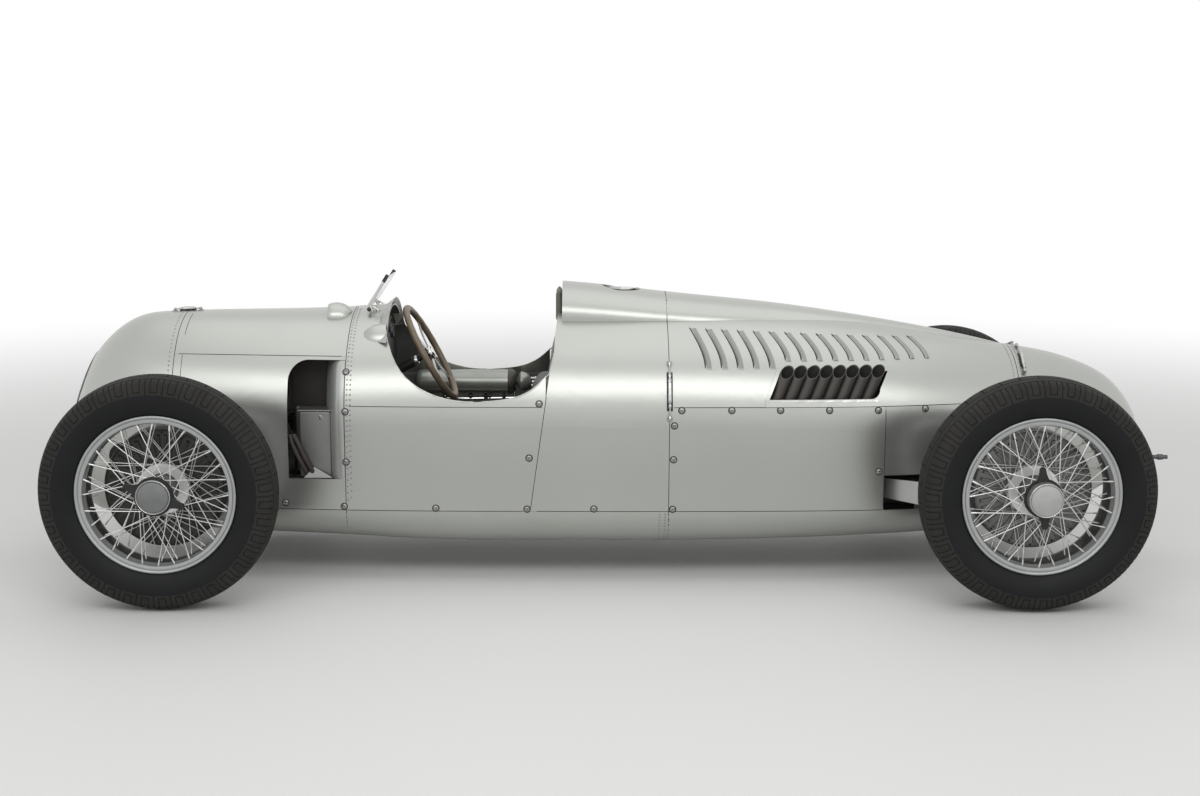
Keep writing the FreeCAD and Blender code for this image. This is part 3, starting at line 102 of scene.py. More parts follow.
skin_corners, skin_triangles = [], []
for panel in body_panels:
    panel_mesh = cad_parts[panel].data
    panel_mesh.calc_loop_triangles()
    skin_triangles += [[k + len(skin_corners) for k in triangle.vertices] for triangle in panel_mesh.loop_triangles]
    skin_corners += [corner.co.copy() for corner in panel_mesh.vertices]
skin = BVHTree.FromPolygons(skin_corners, skin_triangles)


def touch(origin, direction):
    """The first point of the skin that a straight line meets, and the way it faces there."""
    point, facing = skin.ray_cast(Vector(origin), Vector(direction).normalized())[:2]
    if point is None:
        return None
    return np.array(point), np.array(facing if facing.dot(Vector(direction)) < 0 else -facing)


def on_side(x, z, side):
    """A point on the body's side, found from outside; side is -1 for the car's left."""
    return touch((x, side, z), (0, -side, 0))


def around(x, angle, middle=0.56):
    """A point on the body at one place along it, found inwards at an angle above level."""
    way = np.array((0.0, math.cos(angle), math.sin(angle)))
    return touch(np.array((x, 0, middle)) + way, -way)


def gathered(forms):
    """Several forms, each a set of points and a set of faces, as one."""
    points, faces, count = [], [], 0
    for form_points, form_faces in forms:
        points.append(np.asarray(form_points, float).reshape(-1, 3))
        faces += [[k + count for k in face] for face in form_faces]
        count += len(points[-1])
    return np.vstack(points), faces


def make_piece(name, forms, finish, smooth, body="chassis", stands_for=None):
    """One new piece from forms, in its finish, moving with a body; it can stand for a node."""
    mesh = bpy.data.meshes.new(name)
    points, faces = gathered(forms)
    mesh.from_pydata(points.tolist(), [], faces)
    mesh.polygons.foreach_set("use_smooth", np.full(len(mesh.polygons), smooth))
    mesh.update()
    piece = bpy.data.objects.new(name, mesh)
    bpy.context.scene.collection.objects.link(piece)
    mesh.materials.append(finish)
    if smooth:
        mesh.set_sharp_from_angle(angle=math.radians(42))
    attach(piece, body)
    if stands_for:
        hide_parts(stands_for)
    return piece


def full_turn(count):
    """Even angles all the way round."""
    return np.arange(count) * 2 * math.pi / count


def unit(rows):
    """Rows scaled to a length of one."""
    return rows / np.linalg.norm(rows, axis=1, keepdims=True)


def met(samples):
    """The places and the facings of the samples that met the skin, as two arrays."""
    return [np.array([sample[k] for sample in samples if sample is not None]) for k in (0, 1)]


def grid_faces(rows, columns, close_rows, close_columns):
    """Four-cornered faces of a grid of points, joined round in either direction when asked."""
    r = np.arange(rows if close_rows else rows - 1)
    c = np.arange(columns if close_columns else columns - 1)
    r, c = [a.ravel() for a in np.meshgrid(r, c, indexing="ij")]
    below, beside = (r + 1) % rows, (c + 1) % columns
    return np.stack([r * columns + c, r * columns + beside, below * columns + beside, below * columns + c], axis=1)


def capped_faces(rows, columns):
    """Faces of a row of closed loops, with one face at either end."""
    return grid_faces(rows, columns, False, True).tolist() + [list(range(columns))[::-1],
                                                              list(range((rows - 1) * columns, rows * columns))]


def swept(path, ups, outline):
    """A closed outline carried along a path. At each point the outline's first measure runs across the path,
    square to the path and to the up vector, and its second runs along the up vector. Ends are closed by fans."""
    path, ups, outline = np.asarray(path), np.asarray(ups), np.asarray(outline)
    across = unit(np.cross(unit(np.gradient(path, axis=0)), ups))
    grid = (path[:, None] + across[:, None] * outline[None, :, :1] + ups[:, None] * outline[None, :, 1:])
    return grid, capped_faces(*grid.shape[:2])


def swept_on_skin(samples, outline):
    """An outline carried along the skin, through the places where the samples met it."""
    return swept(*met(samples), outline)


def facing_outwards(points, faces):
    """The faces of a closed form, turned over where the volume that they enclose comes out below zero."""
    points = np.asarray(points).reshape(-1, 3)
    fans = np.array([(face[0], face[k], face[k + 1]) for face in faces for k in range(1, len(face) - 1)])
    a, b, c = points[fans[:, 0]], points[fans[:, 1]], points[fans[:, 2]]
    return faces if np.sum(a * np.cross(b, c)) > 0 else [list(face)[::-1] for face in faces]


seam_outline = ((-0.0011, -0.0009), (0.0011, -0.0009), (0.0009, 0.00025), (-0.0009, 0.00025))
painted_shadow_black = noise_finish("seam_shadow", (0.035, 0.035, 0.035), (0.02, 0.02, 0.02), 30, 0.75, 0.1, 0.0, 0.2, 300)
nose_seam, bonnet_seam, engine_seam, rear_seam, tail_seam = -1.6075, -0.9925, 0.1375, 0.8975, 1.4025
belly_line, side_line, bonnet_line = 0.255, 0.626, 0.788
nudge = 0.0012


def seam_strip(samples):
    """A strip on the skin through the places where the samples met it, split where the skin is cut away."""
    runs, run = [], []
    for sample in samples:
        if sample is None or (run and np.linalg.norm(sample[0] - run[-1][0]) > 0.09):
            if len(run) > 2:
                runs.append(run)
            run = []
        if sample is not None:
            run.append(sample)
    if len(run) > 2:
        runs.append(run)
    return [swept_on_skin(run, seam_outline) for run in runs]


def side_row(xs, zs, side):
    """Samples on one side of the body at places along it and heights."""
    return [on_side(x, z, side) for x, z in np.broadcast(xs, zs)]


def ring_row(x, low, high, count, side, middle=0.56):
    """Samples at even angles on one side of the body at one place along it."""
    return [around(x, a if side > 0 else math.pi - a, middle) for a in np.linspace(low, high, count)]


# Dark strips along every seam: painted shadow of the gaps between panels.
strips = []
for x, low in ((nose_seam, -0.93), (bonnet_seam, -0.62), (engine_seam, -0.93), (tail_seam, -0.93)):
    for side in (-1, 1):
        strips += seam_strip(ring_row(x + nudge, low, math.pi / 2, 60, side, 0.45))
for side in (-1, 1):
    low_part, tank_edge = np.linspace(belly_line, side_line, 30), np.linspace(belly_line, 0.66, 30)
    for xs, zs in ((np.linspace(nose_seam, tail_seam, 130), belly_line + nudge),
                   (np.linspace(nose_seam, bonnet_seam, 40), bonnet_line + nudge),
                   (np.linspace(bonnet_seam, -0.305, 40), side_line - nudge),
                   (np.linspace(engine_seam, tail_seam, 70), side_line - nudge),
                   (rear_seam - nudge, low_part),
                   (-0.2925 - 0.055 * (0.645 - tank_edge) / 0.39 + nudge, tank_edge)):
        strips += seam_strip(side_row(xs, zs, side))
for side in (-1, 1):
    strips += seam_strip(side_row(nose_seam + 0.030, np.linspace(0.56, 0.786, 24), side))
    strips += seam_strip(ring_row(nose_seam + 0.026, 0.98, 1.40, 14, side))
make_piece("panel_seams", strips, painted_shadow_black, False)

# Louvres
# Fifteen hoods a side: their backs are painted darker than the panel round them as shade, and a dark strip along the
# front edge is the slot's painted shadow.


def sheet_faces(rows, columns):
    """Faces of a thin sheet whose loops run over its front and back over its back; both ends are closed in pairs."""
    faces, last = grid_faces(rows, columns, False, True).tolist(), (rows - 1) * columns
    for k in range(columns // 2 - 1):
        pair = [k, k + 1, columns - 2 - k, columns - 1 - k]
        faces += [pair[::-1], [last + corner for corner in pair]]
    return faces


louvre_shade_silver = noise_finish("louvre_back_painted_shade", (0.285, 0.292, 0.278), (0.235, 0.242, 0.23), 3, 0.36, 0.06, 0.92,
                             0.06, 150)
louvre_count, louvre_pitch, louvre_first = 15, 0.0565, 0.2165
louvre_shares, louvre_steps = np.linspace(0.03, 0.97, 26), (0.10, 0.24, 0.38, 0.52, 0.66, 0.80, 0.92)
slot_outline = ((-0.0016, -0.0004), (0.0016, -0.0004), (0.0014, 0.0006), (-0.0014, 0.0006))
louvre_backs, louvre_slot_shadows = [], []
for side in (-1, 1):
    for i in range(louvre_count):
        share = i / (louvre_count - 1)
        low, high, width = (0.752, 0.776)[i >= 5], 0.884 - 0.038 * share, 0.022 - 0.006 * share
        fronts = [(louvre_first + louvre_pitch * i + 0.050 * math.sin(t * math.pi / 2), high + (low - high) * t)
                  for t in louvre_shares]
        rows = [side_row(x + width * np.array(louvre_steps), z, side) for x, z in fronts]
        if any(hit is None for row in rows for hit in row):
            continue
        face = np.array([[hit[0] for hit in row] for row in rows])
        sheet = np.concatenate([face + (0, side * 0.0008, 0), (face - (0, side * 0.0006, 0))[:, ::-1]], axis=1)
        louvre_backs.append((sheet, facing_outwards(sheet, sheet_faces(*sheet.shape[:2]))))
        louvre_slot_shadows.append(swept_on_skin([on_side(x - 0.0022, z, side) for x, z in fronts], slot_outline))
make_piece("louvre_backs", louvre_backs, louvre_shade_silver, True)
make_piece("louvre_slot_shadows", louvre_slot_shadows, painted_shadow_black, False)

# Rivets
# Small domed aluminium rivets in single and double rows beside the main seams.
rivet_radius, rivet_rise, rivet_pitch = 0.0034, 0.0018, 0.011
rivet_rings = ((1.0, -0.3), (0.95, 0.3), (0.6, 0.85), (0.0, 1.0))
screw_grey = noise_finish("screw_steel", (0.38, 0.38, 0.37), (0.22, 0.22, 0.215), 60, 0.3, 0.1, 0.95, 0.2, 500)


def dome(radius, rise, rings, sides):
    """A low dome of rings, each a share of the radius and of the rise, as points and faces."""
    turn = full_turn(sides)
    rows = np.array([[radius * share * np.cos(turn), radius * share * np.sin(turn),
                      np.full(sides, rise * height)] for share, height in rings])
    points = rows.transpose(0, 2, 1).reshape(-1, 3)
    return points, grid_faces(len(rings), sides, False, True)


def stud_rows(form, samples):
    """Copies of one small form set on the skin at each sample, its third measure along the skin's facing."""
    points, faces = form
    place, up = met(samples)
    side = unit(np.cross(up, (1.0, 0.0, 0.0)))
    fore = np.cross(side, up)
    copies = (place[:, None] + fore[:, None] * points[None, :, :1] + side[:, None] * points[None, :, 1:2]
              + up[:, None] * points[None, :, 2:])
    offsets = np.arange(len(place))[:, None, None] * len(points)
    return copies, (faces[None] + offsets).reshape(-1, 4)


rivet_places = []
for x, low, high, count in ((bonnet_seam + 0.009, -0.60, 1.45, 46), (bonnet_seam + 0.021, -0.585, 1.43, 46),
                            (nose_seam - 0.016, -0.55, 1.50, 40), (tail_seam - 0.016, 0.30, 1.50, 26),
                            (tail_seam + 0.014, 0.30, 1.50, 26)):
    rivet_places += ring_row(x, low, high, count, 1) + ring_row(x, low, high, count, -1)
for side in (-1, 1):
    for z in np.arange(0.158, 0.250, rivet_pitch):
        rivet_places += [on_side(engine_seam - 0.012, z, side), on_side(engine_seam - 0.031, z, side)]
make_piece("rivet_rows", [stud_rows(dome(rivet_radius, rivet_rise, rivet_rings, 8), rivet_places)], screw_grey, True)

# Panel screws
# Quarter-turn screws with domed slotted heads in shallow cups, along the edges of the loose panels; the cups are
# painted dark, as the shade round each head.
screw_radius, screw_rise, cup_rise = 0.0098, 0.0046, 0.0022
slot_half_width = 0.00169
head_rings = ((1.06, -0.25), (1.03, 0.10), (1.0, 0.10), (0.97, 0.42), (0.85, 0.66), (0.66, 0.84), (0.44, 0.94),
              (0.22, 0.99), (0.0, 1.0))
screw_places = ((-0.9885, 0.739), (-0.9885, 0.606), (-0.9885, 0.428), (-0.9985, 0.269), (-1.2065, 0.278),
                (-0.6765, 0.266), (-0.3145, 0.637), (-0.3495, 0.447), (-0.3575, 0.264), (-0.1235, 0.265),
                (0.1805, 0.615), (0.3545, 0.615), (0.5245, 0.615), (0.6965, 0.614), (0.8695, 0.612), (1.0405, 0.614),
                (0.1555, 0.562), (0.1535, 0.442), (0.1525, 0.264), (0.8775, 0.394))


def slotted_head(radius, rise):
    """A dome whose height falls with the square of the distance from the middle and ends in a flat collar; points of
    the dome that lie near the middle line are lowered by half the rise, which leaves a slot."""
    points, faces = dome(radius, rise, head_rings, 28)
    in_slot = (np.abs(points[:, 1]) < slot_half_width) & (np.hypot(points[:, 0], points[:, 1]) < radius * 0.98)
    return points - in_slot[:, None] * (0.0, 0.0, rise * 0.5), faces


screw_samples = [on_side(x, z, side) for side in (-1, 1) for x, z in screw_places]
cup_rings = ((1.34, -0.4), (1.34, 0.30), (1.27, 0.45), (1.08, 0.2), (0.0, 0.1))
make_piece("screw_cup_shades", [stud_rows(dome(screw_radius, cup_rise, cup_rings, 24), screw_samples)], painted_shadow_black, True)
make_piece("panel_screws", [stud_rows(slotted_head(screw_radius, screw_rise), screw_samples)], screw_grey, True)

# Strap latches
# Steel turnbuckles on hooks draw the engine cover, the tail and the nose bonnet against their neighbours.
# Each has a steel barrel with two threaded rods, grey hooks riveted to the panels and a dark strip under it, painted
# shadow.
bright_steel = noise_finish("bright_steel", (0.66, 0.66, 0.64), (0.5, 0.5, 0.49), 40, 0.2, 0.07, 1.0, 0.1, 400)
latch_steel = noise_finish("latch_steel", (0.50, 0.50, 0.49), (0.36, 0.36, 0.35), 40, 0.26, 0.07, 1.0, 0.1, 400)
shadow_inset, shadow_half, shadow_rise = 9, 0.0105, 0.0014


def pipe_run(path, radii, sides=14):
    """A round bar along a path whose radius changes from point to point: rings of points square to the path,
    closed at both ends by a face."""
    path, radii = np.asarray(path, float), np.broadcast_to(radii, len(path))
    along = unit(np.gradient(path, axis=0))
    across = unit(np.cross(along, np.where(np.abs(along[:, 2:]) > 0.9, (1.0, 0.0, 0.0), (0.0, 0.0, 1.0))))
    upward = np.cross(across, along)
    turn = full_turn(sides)
    grid = (path[:, None] + radii[:, None, None] * (across[:, None] * np.cos(turn)[None, :, None]
                                                    + upward[:, None] * np.sin(turn)[None, :, None]))
    return grid, [face[::-1] for face in capped_faces(len(path), sides)]


def turnbuckle(samples, lift):
    """Barrel and rods, end hooks and a dark strip of painted shadow along a row of skin samples; the barrel is held a
    little off the skin.
    """
    base, up = met(samples)
    line = base + up * lift
    end, rod, collar, neck, barrel = 0.0058, 0.0032, 0.0058, 0.0038, 0.0072
    half = ((0, end), (0.04, end), (0.05, rod), (0.19, rod), (0.2, collar), (0.25, collar), (0.26, neck), (0.3, barrel))
    shares, radii = zip(*half, *[(1 - share, radius) for share, radius in half[::-1]])
    hooks = []
    for k in (0, -1):
        hooks.append(pipe_run([base[k] - up[k] * 0.001, line[k] + up[k] * 0.002], 0.0046, 10))
        hooks.append(pipe_run([base[k] - up[k] * 0.001, base[k] + up[k] * 0.0018], 0.011, 18))
    shadow_strip = swept(base[shadow_inset:-shadow_inset], up[shadow_inset:-shadow_inset],
                 ((-shadow_half, 0.0), (shadow_half, 0.0), (shadow_half, shadow_rise), (-shadow_half, shadow_rise)))
    return pipe_run(line, np.interp(np.linspace(0, 1, len(line)), shares, radii)), hooks, shadow_strip


latches = []
for side in (-1, 1):
    latches.append(turnbuckle(side_row(engine_seam + 0.0015, np.linspace(0.585, 0.77, 60), side), 0.0105))
    tail_heights = np.linspace(0.716, 0.792, 40)
    latches.append(turnbuckle(side_row(tail_seam + 0.034 - 0.12 * (0.796 - tail_heights), tail_heights, side), 0.009))
latches.append(turnbuckle([touch((x, 0.0, 1.3), (0, 0, -1)) for x in np.linspace(-1.662, -1.566, 50)], 0.0075))
bars, hook_sets, shadow_strips = zip(*latches)
make_piece("latch_barrels", bars, latch_steel, True)
make_piece("latch_hooks", sum(hook_sets, []), screw_grey, True)
make_piece("latch_shadow_strips", shadow_strips, painted_shadow_black, False)

# Nose grille and radiator
# Upright blades across the mouth in a thin surround, blackened, with the honeycomb core behind them.
grille_black = noise_finish("grille_black", (0.04, 0.04, 0.042), (0.02, 0.02, 0.02), 25, 0.42, 0.1, 0.6, 0.2, 300)
coat(grille_black, "nose_grille")
surround_count, surround_middle = 150, 0.0135


def mouth_half_width(z):
    """How far out the opening in the nose reaches at a height: where the skin, felt from ahead, first drops back."""
    last = None
    for y in np.arange(0.26, 0.0, -0.002):
        hit = touch((-2.6, y, z), (1, 0, 0))
        if hit is None or (last is not None and hit[0][0] - last > 0.006):
            return y + 0.002
        last = hit[0][0]
    return None


mouth_edge = [(mouth_half_width(z), z) for z in np.linspace(0.16, 0.86, 141)]
mouth_edge = [(y, z) for y, z in mouth_edge if y is not None and y < 0.25]
mouth_loop = np.array(mouth_edge + [(-y, z) for y, z in mouth_edge[::-1]])
for _ in range(3):
    mouth_loop = (np.roll(mouth_loop, 1, axis=0) + 2 * mouth_loop + np.roll(mouth_loop, -1, axis=0)) / 4
closed_loop = np.vstack([mouth_loop, mouth_loop[:1]])
loop_marks = np.concatenate([[0], np.cumsum(np.linalg.norm(np.diff(closed_loop, axis=0), axis=1))])
even_marks = np.linspace(0, loop_marks[-1], surround_count, endpoint=False)
mouth_loop = np.stack([np.interp(even_marks, loop_marks, closed_loop[:, k]) for k in (0, 1)], axis=1)
loop_way = unit(np.roll(mouth_loop, -1, axis=0) - np.roll(mouth_loop, 1, axis=0))
loop_out = np.stack([loop_way[:, 1], -loop_way[:, 0]], axis=1)
surround = [touch((-2.6, y, z), (1, 0, 0)) for y, z in mouth_loop + loop_out * surround_middle]
surround = [s for s in surround if s is not None]
strip = swept_on_skin(surround + surround[:1],
                      ((-0.0115, -0.001), (0.0115, -0.001), (0.0105, 0.0016), (-0.0105, 0.0016)))
make_piece("mouth_surround", [strip], grille_black, False)
surround_studs = [(s[0] + s[1] * 0.0014, s[1]) for s in surround[::2]]
make_piece("mouth_surround_studs", [stud_rows(dome(0.0022, 0.0014, rivet_rings, 8), surround_studs)], screw_grey,
           True)


def honeycomb(name, cell):
    """A dark metal finish with small round cells in relief, set square to the car's length."""
    finish = noise_finish(name, (0.16, 0.13, 0.10), (0.06, 0.05, 0.045), 12, 0.5, 0.1, 0.8, 0.1, 300)
    tree = finish.node_tree
    place, cells, relief = new_nodes(tree, "TexCoord", "TexVoronoi", "Bump")
    for node, entry, value in ((cells, "Scale", 1 / cell), (cells, "Randomness", 0), (relief, "Strength", 1),
                               (relief, "Distance", 0.004)):
        node.inputs[entry].default_value = value
    wire(tree, (place, "Object", cells, "Vector"), (cells, "Distance", relief, "Height"),
         (relief, "Normal", tree.nodes["Principled BSDF"], "Normal"))
    return finish


coat(honeycomb("radiator_honeycomb", 0.007), "radiator")

# Outlet ducts
# Behind each side outlet a polished sheet curves in from the seam; a boxed duct fills the lower half, with two hoses
# and a folded gusset at its foot, and dark plates further in are painted shade for the rest.
duct_metal = noise_finish("bare_duct_sheet", (0.25, 0.25, 0.24), (0.16, 0.16, 0.155), 8, 0.4, 0.08, 0.8, 0.15, 200)
wall_silver = noise_finish("outlet_wall_silver", (0.52, 0.53, 0.51), (0.44, 0.45, 0.43), 4, 0.34, 0.06, 0.4, 0.1, 200)
duct_grey = noise_finish("duct_paint", (0.20, 0.205, 0.195), (0.14, 0.145, 0.14), 9, 0.5, 0.1, 0.5, 0.15, 220)
painted_shade_dark = noise_finish("engine_room_painted_shade", (0.028, 0.023, 0.021), (0.014, 0.012, 0.011), 9, 0.65, 0.1, 0.1, 0.2,
                          200)
vent_rear, vent_low, vent_high = -0.9945, 0.366, 0.777
wall_plan = np.array(((0.0, 0.0016), (-0.010, 0.0024), (-0.020, 0.0060), (-0.030, 0.0140), (-0.039, 0.0260),
                      (-0.048, 0.0430), (-0.057, 0.0660), (-0.067, 0.0950), (-0.078, 0.1300)))
wall_plan = np.vstack([wall_plan, wall_plan[::-1] + (0.0012, 0.0016)])


def upright_box(x0, x1, y0, y1, z0, z1, round_x, round_top):
    """A box of stacked loops with rounded upright corners, whose loops draw in towards a rounded top."""
    turn = np.radians(np.arange(0, 91, 22.5))
    levels = [(z0, 0.0)] + [(z1 - round_top * (1 - math.sin(a)), round_top * (1 - math.cos(a))) for a in turn]
    loops = []
    for z, draw in levels:
        ax, bx, ay, by = x0 + draw, x1 - draw, y0 + draw, y1 - draw
        r = max(round_x - draw, 0.001)
        corners = ((bx - r, by - r, 0), (ax + r, by - r, 90), (ax + r, ay + r, 180), (bx - r, ay + r, 270))
        loops.append([(cx + r * math.cos(a + math.radians(start)), cy + r * math.sin(a + math.radians(start)), z)
                      for cx, cy, start in corners for a in turn])
    return np.array(loops), capped_faces(len(loops), len(loops[0]))


def on_both_sides(form):
    """A closed form that lies on the car's right, and its reflection on the left."""
    turned = [np.asarray(form[0], float) * (1, side, 1) for side in (1, -1)]
    return [(points, facing_outwards(points, form[1])) for points in turned]


levels = np.linspace(vent_low - 0.004, vent_high - 0.0015, 30)
skin_y = [abs(on_side(bonnet_seam + 0.006, z, 1)[0][1]) for z in levels]
wall = np.array([[(vent_rear + dx, y - dy, z) for dx, dy in wall_plan] for y, z in zip(skin_y, levels)])
make_piece("outlet_walls", on_both_sides((wall, sheet_faces(*wall.shape[:2]))), wall_silver, True,
           stands_for="vent_ducts")
lower_box = upright_box(-1.160, -1.044, 0.250, 0.345, 0.368, 0.600, 0.010, 0.008)
ledge = upright_box(-1.164, -1.042, 0.262, 0.350, 0.600, 0.6045, 0.006, 0.002)
gusset = ([(-1.140, 0.372, 0.3675), (-1.040, 0.372, 0.3675), (-1.106, 0.350, 0.402), (-1.140, 0.345, 0.3675),
           (-1.040, 0.345, 0.3675)], [[0, 1, 2], [0, 2, 3], [1, 4, 2], [3, 2, 4], [0, 3, 4, 1]])
side_band = upright_box(-1.186, -1.142, 0.225, 0.250, 0.368, 0.600, 0.006, 0.004)
shade_plate = upright_box(-1.200, -1.000, 0.210, 0.214, 0.345, 0.790, 0.002, 0.001)
hoses = [pipe_run([(-1.188 + offset * 0.6, 0.362, 0.520), (-1.180 + offset, 0.366, 0.490),
                   (-1.158 + offset, 0.366, 0.440), (-1.138 + offset, 0.362, 0.398),
                   (-1.130 + offset, 0.352, 0.378)], 0.0085, 12) for offset in (0.0, 0.021)]
hose_black = noise_finish("hose_rubber", (0.045, 0.035, 0.032), (0.022, 0.018, 0.017), 30, 0.6, 0.1, 0.0, 0.4, 260)
for name, forms, finish, slot in (("outlet_boxes", (lower_box, ledge, gusset), duct_metal, "bare_aluminium"),
                                  ("outlet_side_bands", (side_band,), duct_grey, "bare_aluminium"),
                                  ("outlet_shade_plates", (shade_plate,), painted_shade_dark, "dark_metal"),
                                  ("outlet_hoses", hoses, hose_black, "dark_metal")):
    make_piece(name, [half for form in forms for half in on_both_sides(form)], finish, True,
               stands_for="vent_ducts")
box_screws = [(np.array((x, side * 0.3448, z)), np.array((0.0, side, 0.0)))
              for side in (-1, 1) for x, z in ((-1.081, 0.578), (-1.122, 0.390))]
make_piece("outlet_screws", [stud_rows(slotted_head(0.0085, 0.004), box_screws)], screw_grey, True)

# Axles, steering joints and track rod
# Forged trailing arms on two cross tubes, knuckles on kingpins, a rod that ties them, and sheet arms at the rear.
# The forgings are enamelled grey, the sheet arms are painted silver and the rod is bare steel.
axle_grey = noise_finish("axle_enamel", (0.13, 0.135, 0.135), (0.08, 0.08, 0.082), 14, 0.42, 0.1, 0.6, 0.3, 220)
coat(axle_grey, "front_axle", "rear_axle", "knuckle_left", "knuckle_right")
coat(bright_steel, "track_rod")
coat(noise_finish("arm_sheet_paint", (0.5, 0.51, 0.5), (0.38, 0.385, 0.38), 9, 0.4, 0.08, 0.7, 0.2, 260),
     "radius_arms")

# Tyres
# Tall cross-ply racing tyres: a ribbed crown, cross cuts that run down the shoulder, alternately a straight cut
# and a U-shaped loop, and a smooth wall down to the bead.
tyre_black = noise_finish("tyre_wall", (0.0095, 0.0100, 0.0112), (0.0055, 0.0058, 0.0066), 9, 0.55, 0.12, 0.0, 0.35,
                          420)
tread_grey = noise_finish("tyre_tread", (0.034, 0.033, 0.031), (0.018, 0.0175, 0.0165), 14, 0.75, 0.12, 0.0, 0.45,
                          300)
for rubber_finish in (tyre_black, tread_grey):
    rubber_finish.node_tree.nodes["Principled BSDF"].inputs["Specular IOR Level"].default_value = 0.22
wheel_height, wheel_middle_y = 0.392, 0.710
axle_places = {"front": -1.5575, "rear": 1.3425}
crown_radius, tread_cut_depth, tread_periods = 0.392, 0.0042, 39
cut_half, loop_share = 0.0011, 0.30
tyre_walls = {
    "front": ((0.2413, 0.0510), (0.2638, 0.0510), (0.268, 0.0552), (0.272, 0.0583), (0.278, 0.0618), (0.284, 0.0651),
              (0.292, 0.0685), (0.300, 0.0716), (0.309, 0.0740), (0.319, 0.0755), (0.328, 0.0760), (0.337, 0.0757),
              (0.346, 0.0745), (0.354, 0.0726), (0.361, 0.0707), (0.368, 0.0679), (0.374, 0.0654)),
    "rear": ((0.2413, 0.0628), (0.2638, 0.0628), (0.268, 0.0672), (0.273, 0.0708), (0.278, 0.0745), (0.284, 0.0780),
             (0.291, 0.0815), (0.300, 0.0850), (0.309, 0.0877), (0.318, 0.0894), (0.327, 0.0901), (0.336, 0.0897),
             (0.345, 0.0883), (0.353, 0.0862), (0.361, 0.0838), (0.368, 0.0806), (0.374, 0.0774)),
}


def tyre_outline(axle):
    """The tyre's half outline from crown to bead as radii, distances out and length along it."""
    wall = np.array(tyre_walls[axle])[::-1]
    edge = wall[0, 1]
    crown_out = np.linspace(0, edge, 30)[:-1]
    sag = crown_radius - wall[0, 0]
    bend = (edge ** 2 + sag ** 2) / (2 * sag)
    crown = np.stack([crown_radius - bend + np.sqrt(bend ** 2 - crown_out ** 2), crown_out], axis=1)
    line = np.vstack([crown, wall])
    length = np.concatenate([[0], np.cumsum(np.hypot(*np.diff(line, axis=0).T))])
    return line, length, length[len(crown)]


def dent(distance, half_width, soften=0.0007):
    """1 inside a cut, falling to 0 past its half width."""
    return np.clip((half_width + soften - np.abs(distance)) / soften, 0, 1)


def tyre_mesh(axle):
    """Grid round the tyre and across it, in the wheel's own measures; the cuts lower the radius and the width."""
    line, length, shoulder = tyre_outline(axle)
    ribs = (0.0, 0.33, 0.66)
    across = set(np.linspace(0, shoulder + 0.046, 14))
    for share in ribs:
        across |= {share * shoulder + step for step in (-0.0022, -0.0012, 0.0012, 0.0022)}
    across |= {shoulder + step for step in (0.0300, 0.0310, 0.0335, 0.0345, 0.040, 0.0415)}
    across |= set(np.linspace(shoulder + 0.05, length[-1] - 0.012, 7)) | {length[-1] - 0.0225, length[-1]}
    across = np.array(sorted(a for a in across if a >= 0))
    across = np.concatenate([-across[:0:-1], across])
    period = 2 * math.pi * crown_radius / tread_periods
    steps = [share * period + step for share in (0.0, loop_share, 1 - loop_share)
             for step in (-0.0020, -cut_half, cut_half, 0.0020)]
    steps += [share * period for share in (0.1, 0.2, 0.4, 0.5, 0.6, 0.8, 0.9)]
    round_line = np.sort(np.mod(np.array(steps)[None] + np.arange(tread_periods)[:, None] * period,
                                tread_periods * period).ravel())
    around_at, across_at = np.meshgrid(round_line, across, indexing="ij")
    phase = np.mod(around_at + period / 2, period) - period / 2
    reach = np.abs(across_at)
    inner = ribs[-1] * shoulder
    straight = dent(phase, cut_half) * (reach > inner) * (reach < shoulder + 0.0407)
    loop_side = np.minimum(np.abs(phase - loop_share * period), np.abs(phase + loop_share * period))
    loop = dent(loop_side, cut_half) * (reach > inner) * (reach < shoulder + 0.0327)
    foot = dent(reach - shoulder - 0.0322, 0.0012) * (np.abs(phase) > 0.295 * period)
    middle = dent(phase, cut_half) * (reach < ribs[1] * shoulder)
    cut = np.maximum.reduce([dent(reach - share * shoulder, 0.0012) for share in ribs]
                            + [straight, loop, foot, middle])
    radius = np.interp(reach, length, line[:, 0])
    out = np.interp(reach, length, line[:, 1]) * np.sign(across_at)
    lean = np.clip((reach - shoulder * 0.8) / (shoulder * 0.6), 0, 1)
    radius = radius - cut * tread_cut_depth * (1 - 0.8 * lean)
    out = out - np.sign(across_at) * cut * tread_cut_depth * 0.75 * lean
    turn = around_at / crown_radius
    points = np.stack([radius * np.cos(turn), out, radius * np.sin(turn)], axis=2)
    middles = (np.abs(across) + np.abs(np.roll(across, -1))) / 2
    worn = np.tile(middles < shoulder + 0.0425, len(round_line)).astype(int)
    return points, grid_faces(len(round_line), len(across), True, True), worn


def on_wheels(axle, name, form, finish, node):
    """A form in the wheel's own measures (along the car, outwards, up) on both wheels of an axle, the left one as the
    right one's reflection. It stands for the wheel's node of the given kind."""
    pieces = []
    for side, hand in ((-1, "left"), (1, "right")):
        label = "_" + axle + "_" + hand
        points = np.asarray(form[0], float) * (1, side, 1)
        faces = facing_outwards(points, form[1])
        points = points + (axle_places[axle], side * wheel_middle_y, wheel_height)
        pieces.append(make_piece(name + label, [(points, faces)], finish, True, "wheel" + label, node + label))
    return pieces


for axle in ("front", "rear"):
    tyre_points, tyre_faces, worn = tyre_mesh(axle)
    for tyre in on_wheels(axle, "cut_tyre", (tyre_points, tyre_faces), tyre_black, "tyre"):
        tyre.data.materials.append(tread_grey)
        tyre.data.polygons.foreach_set("material_index", worn)
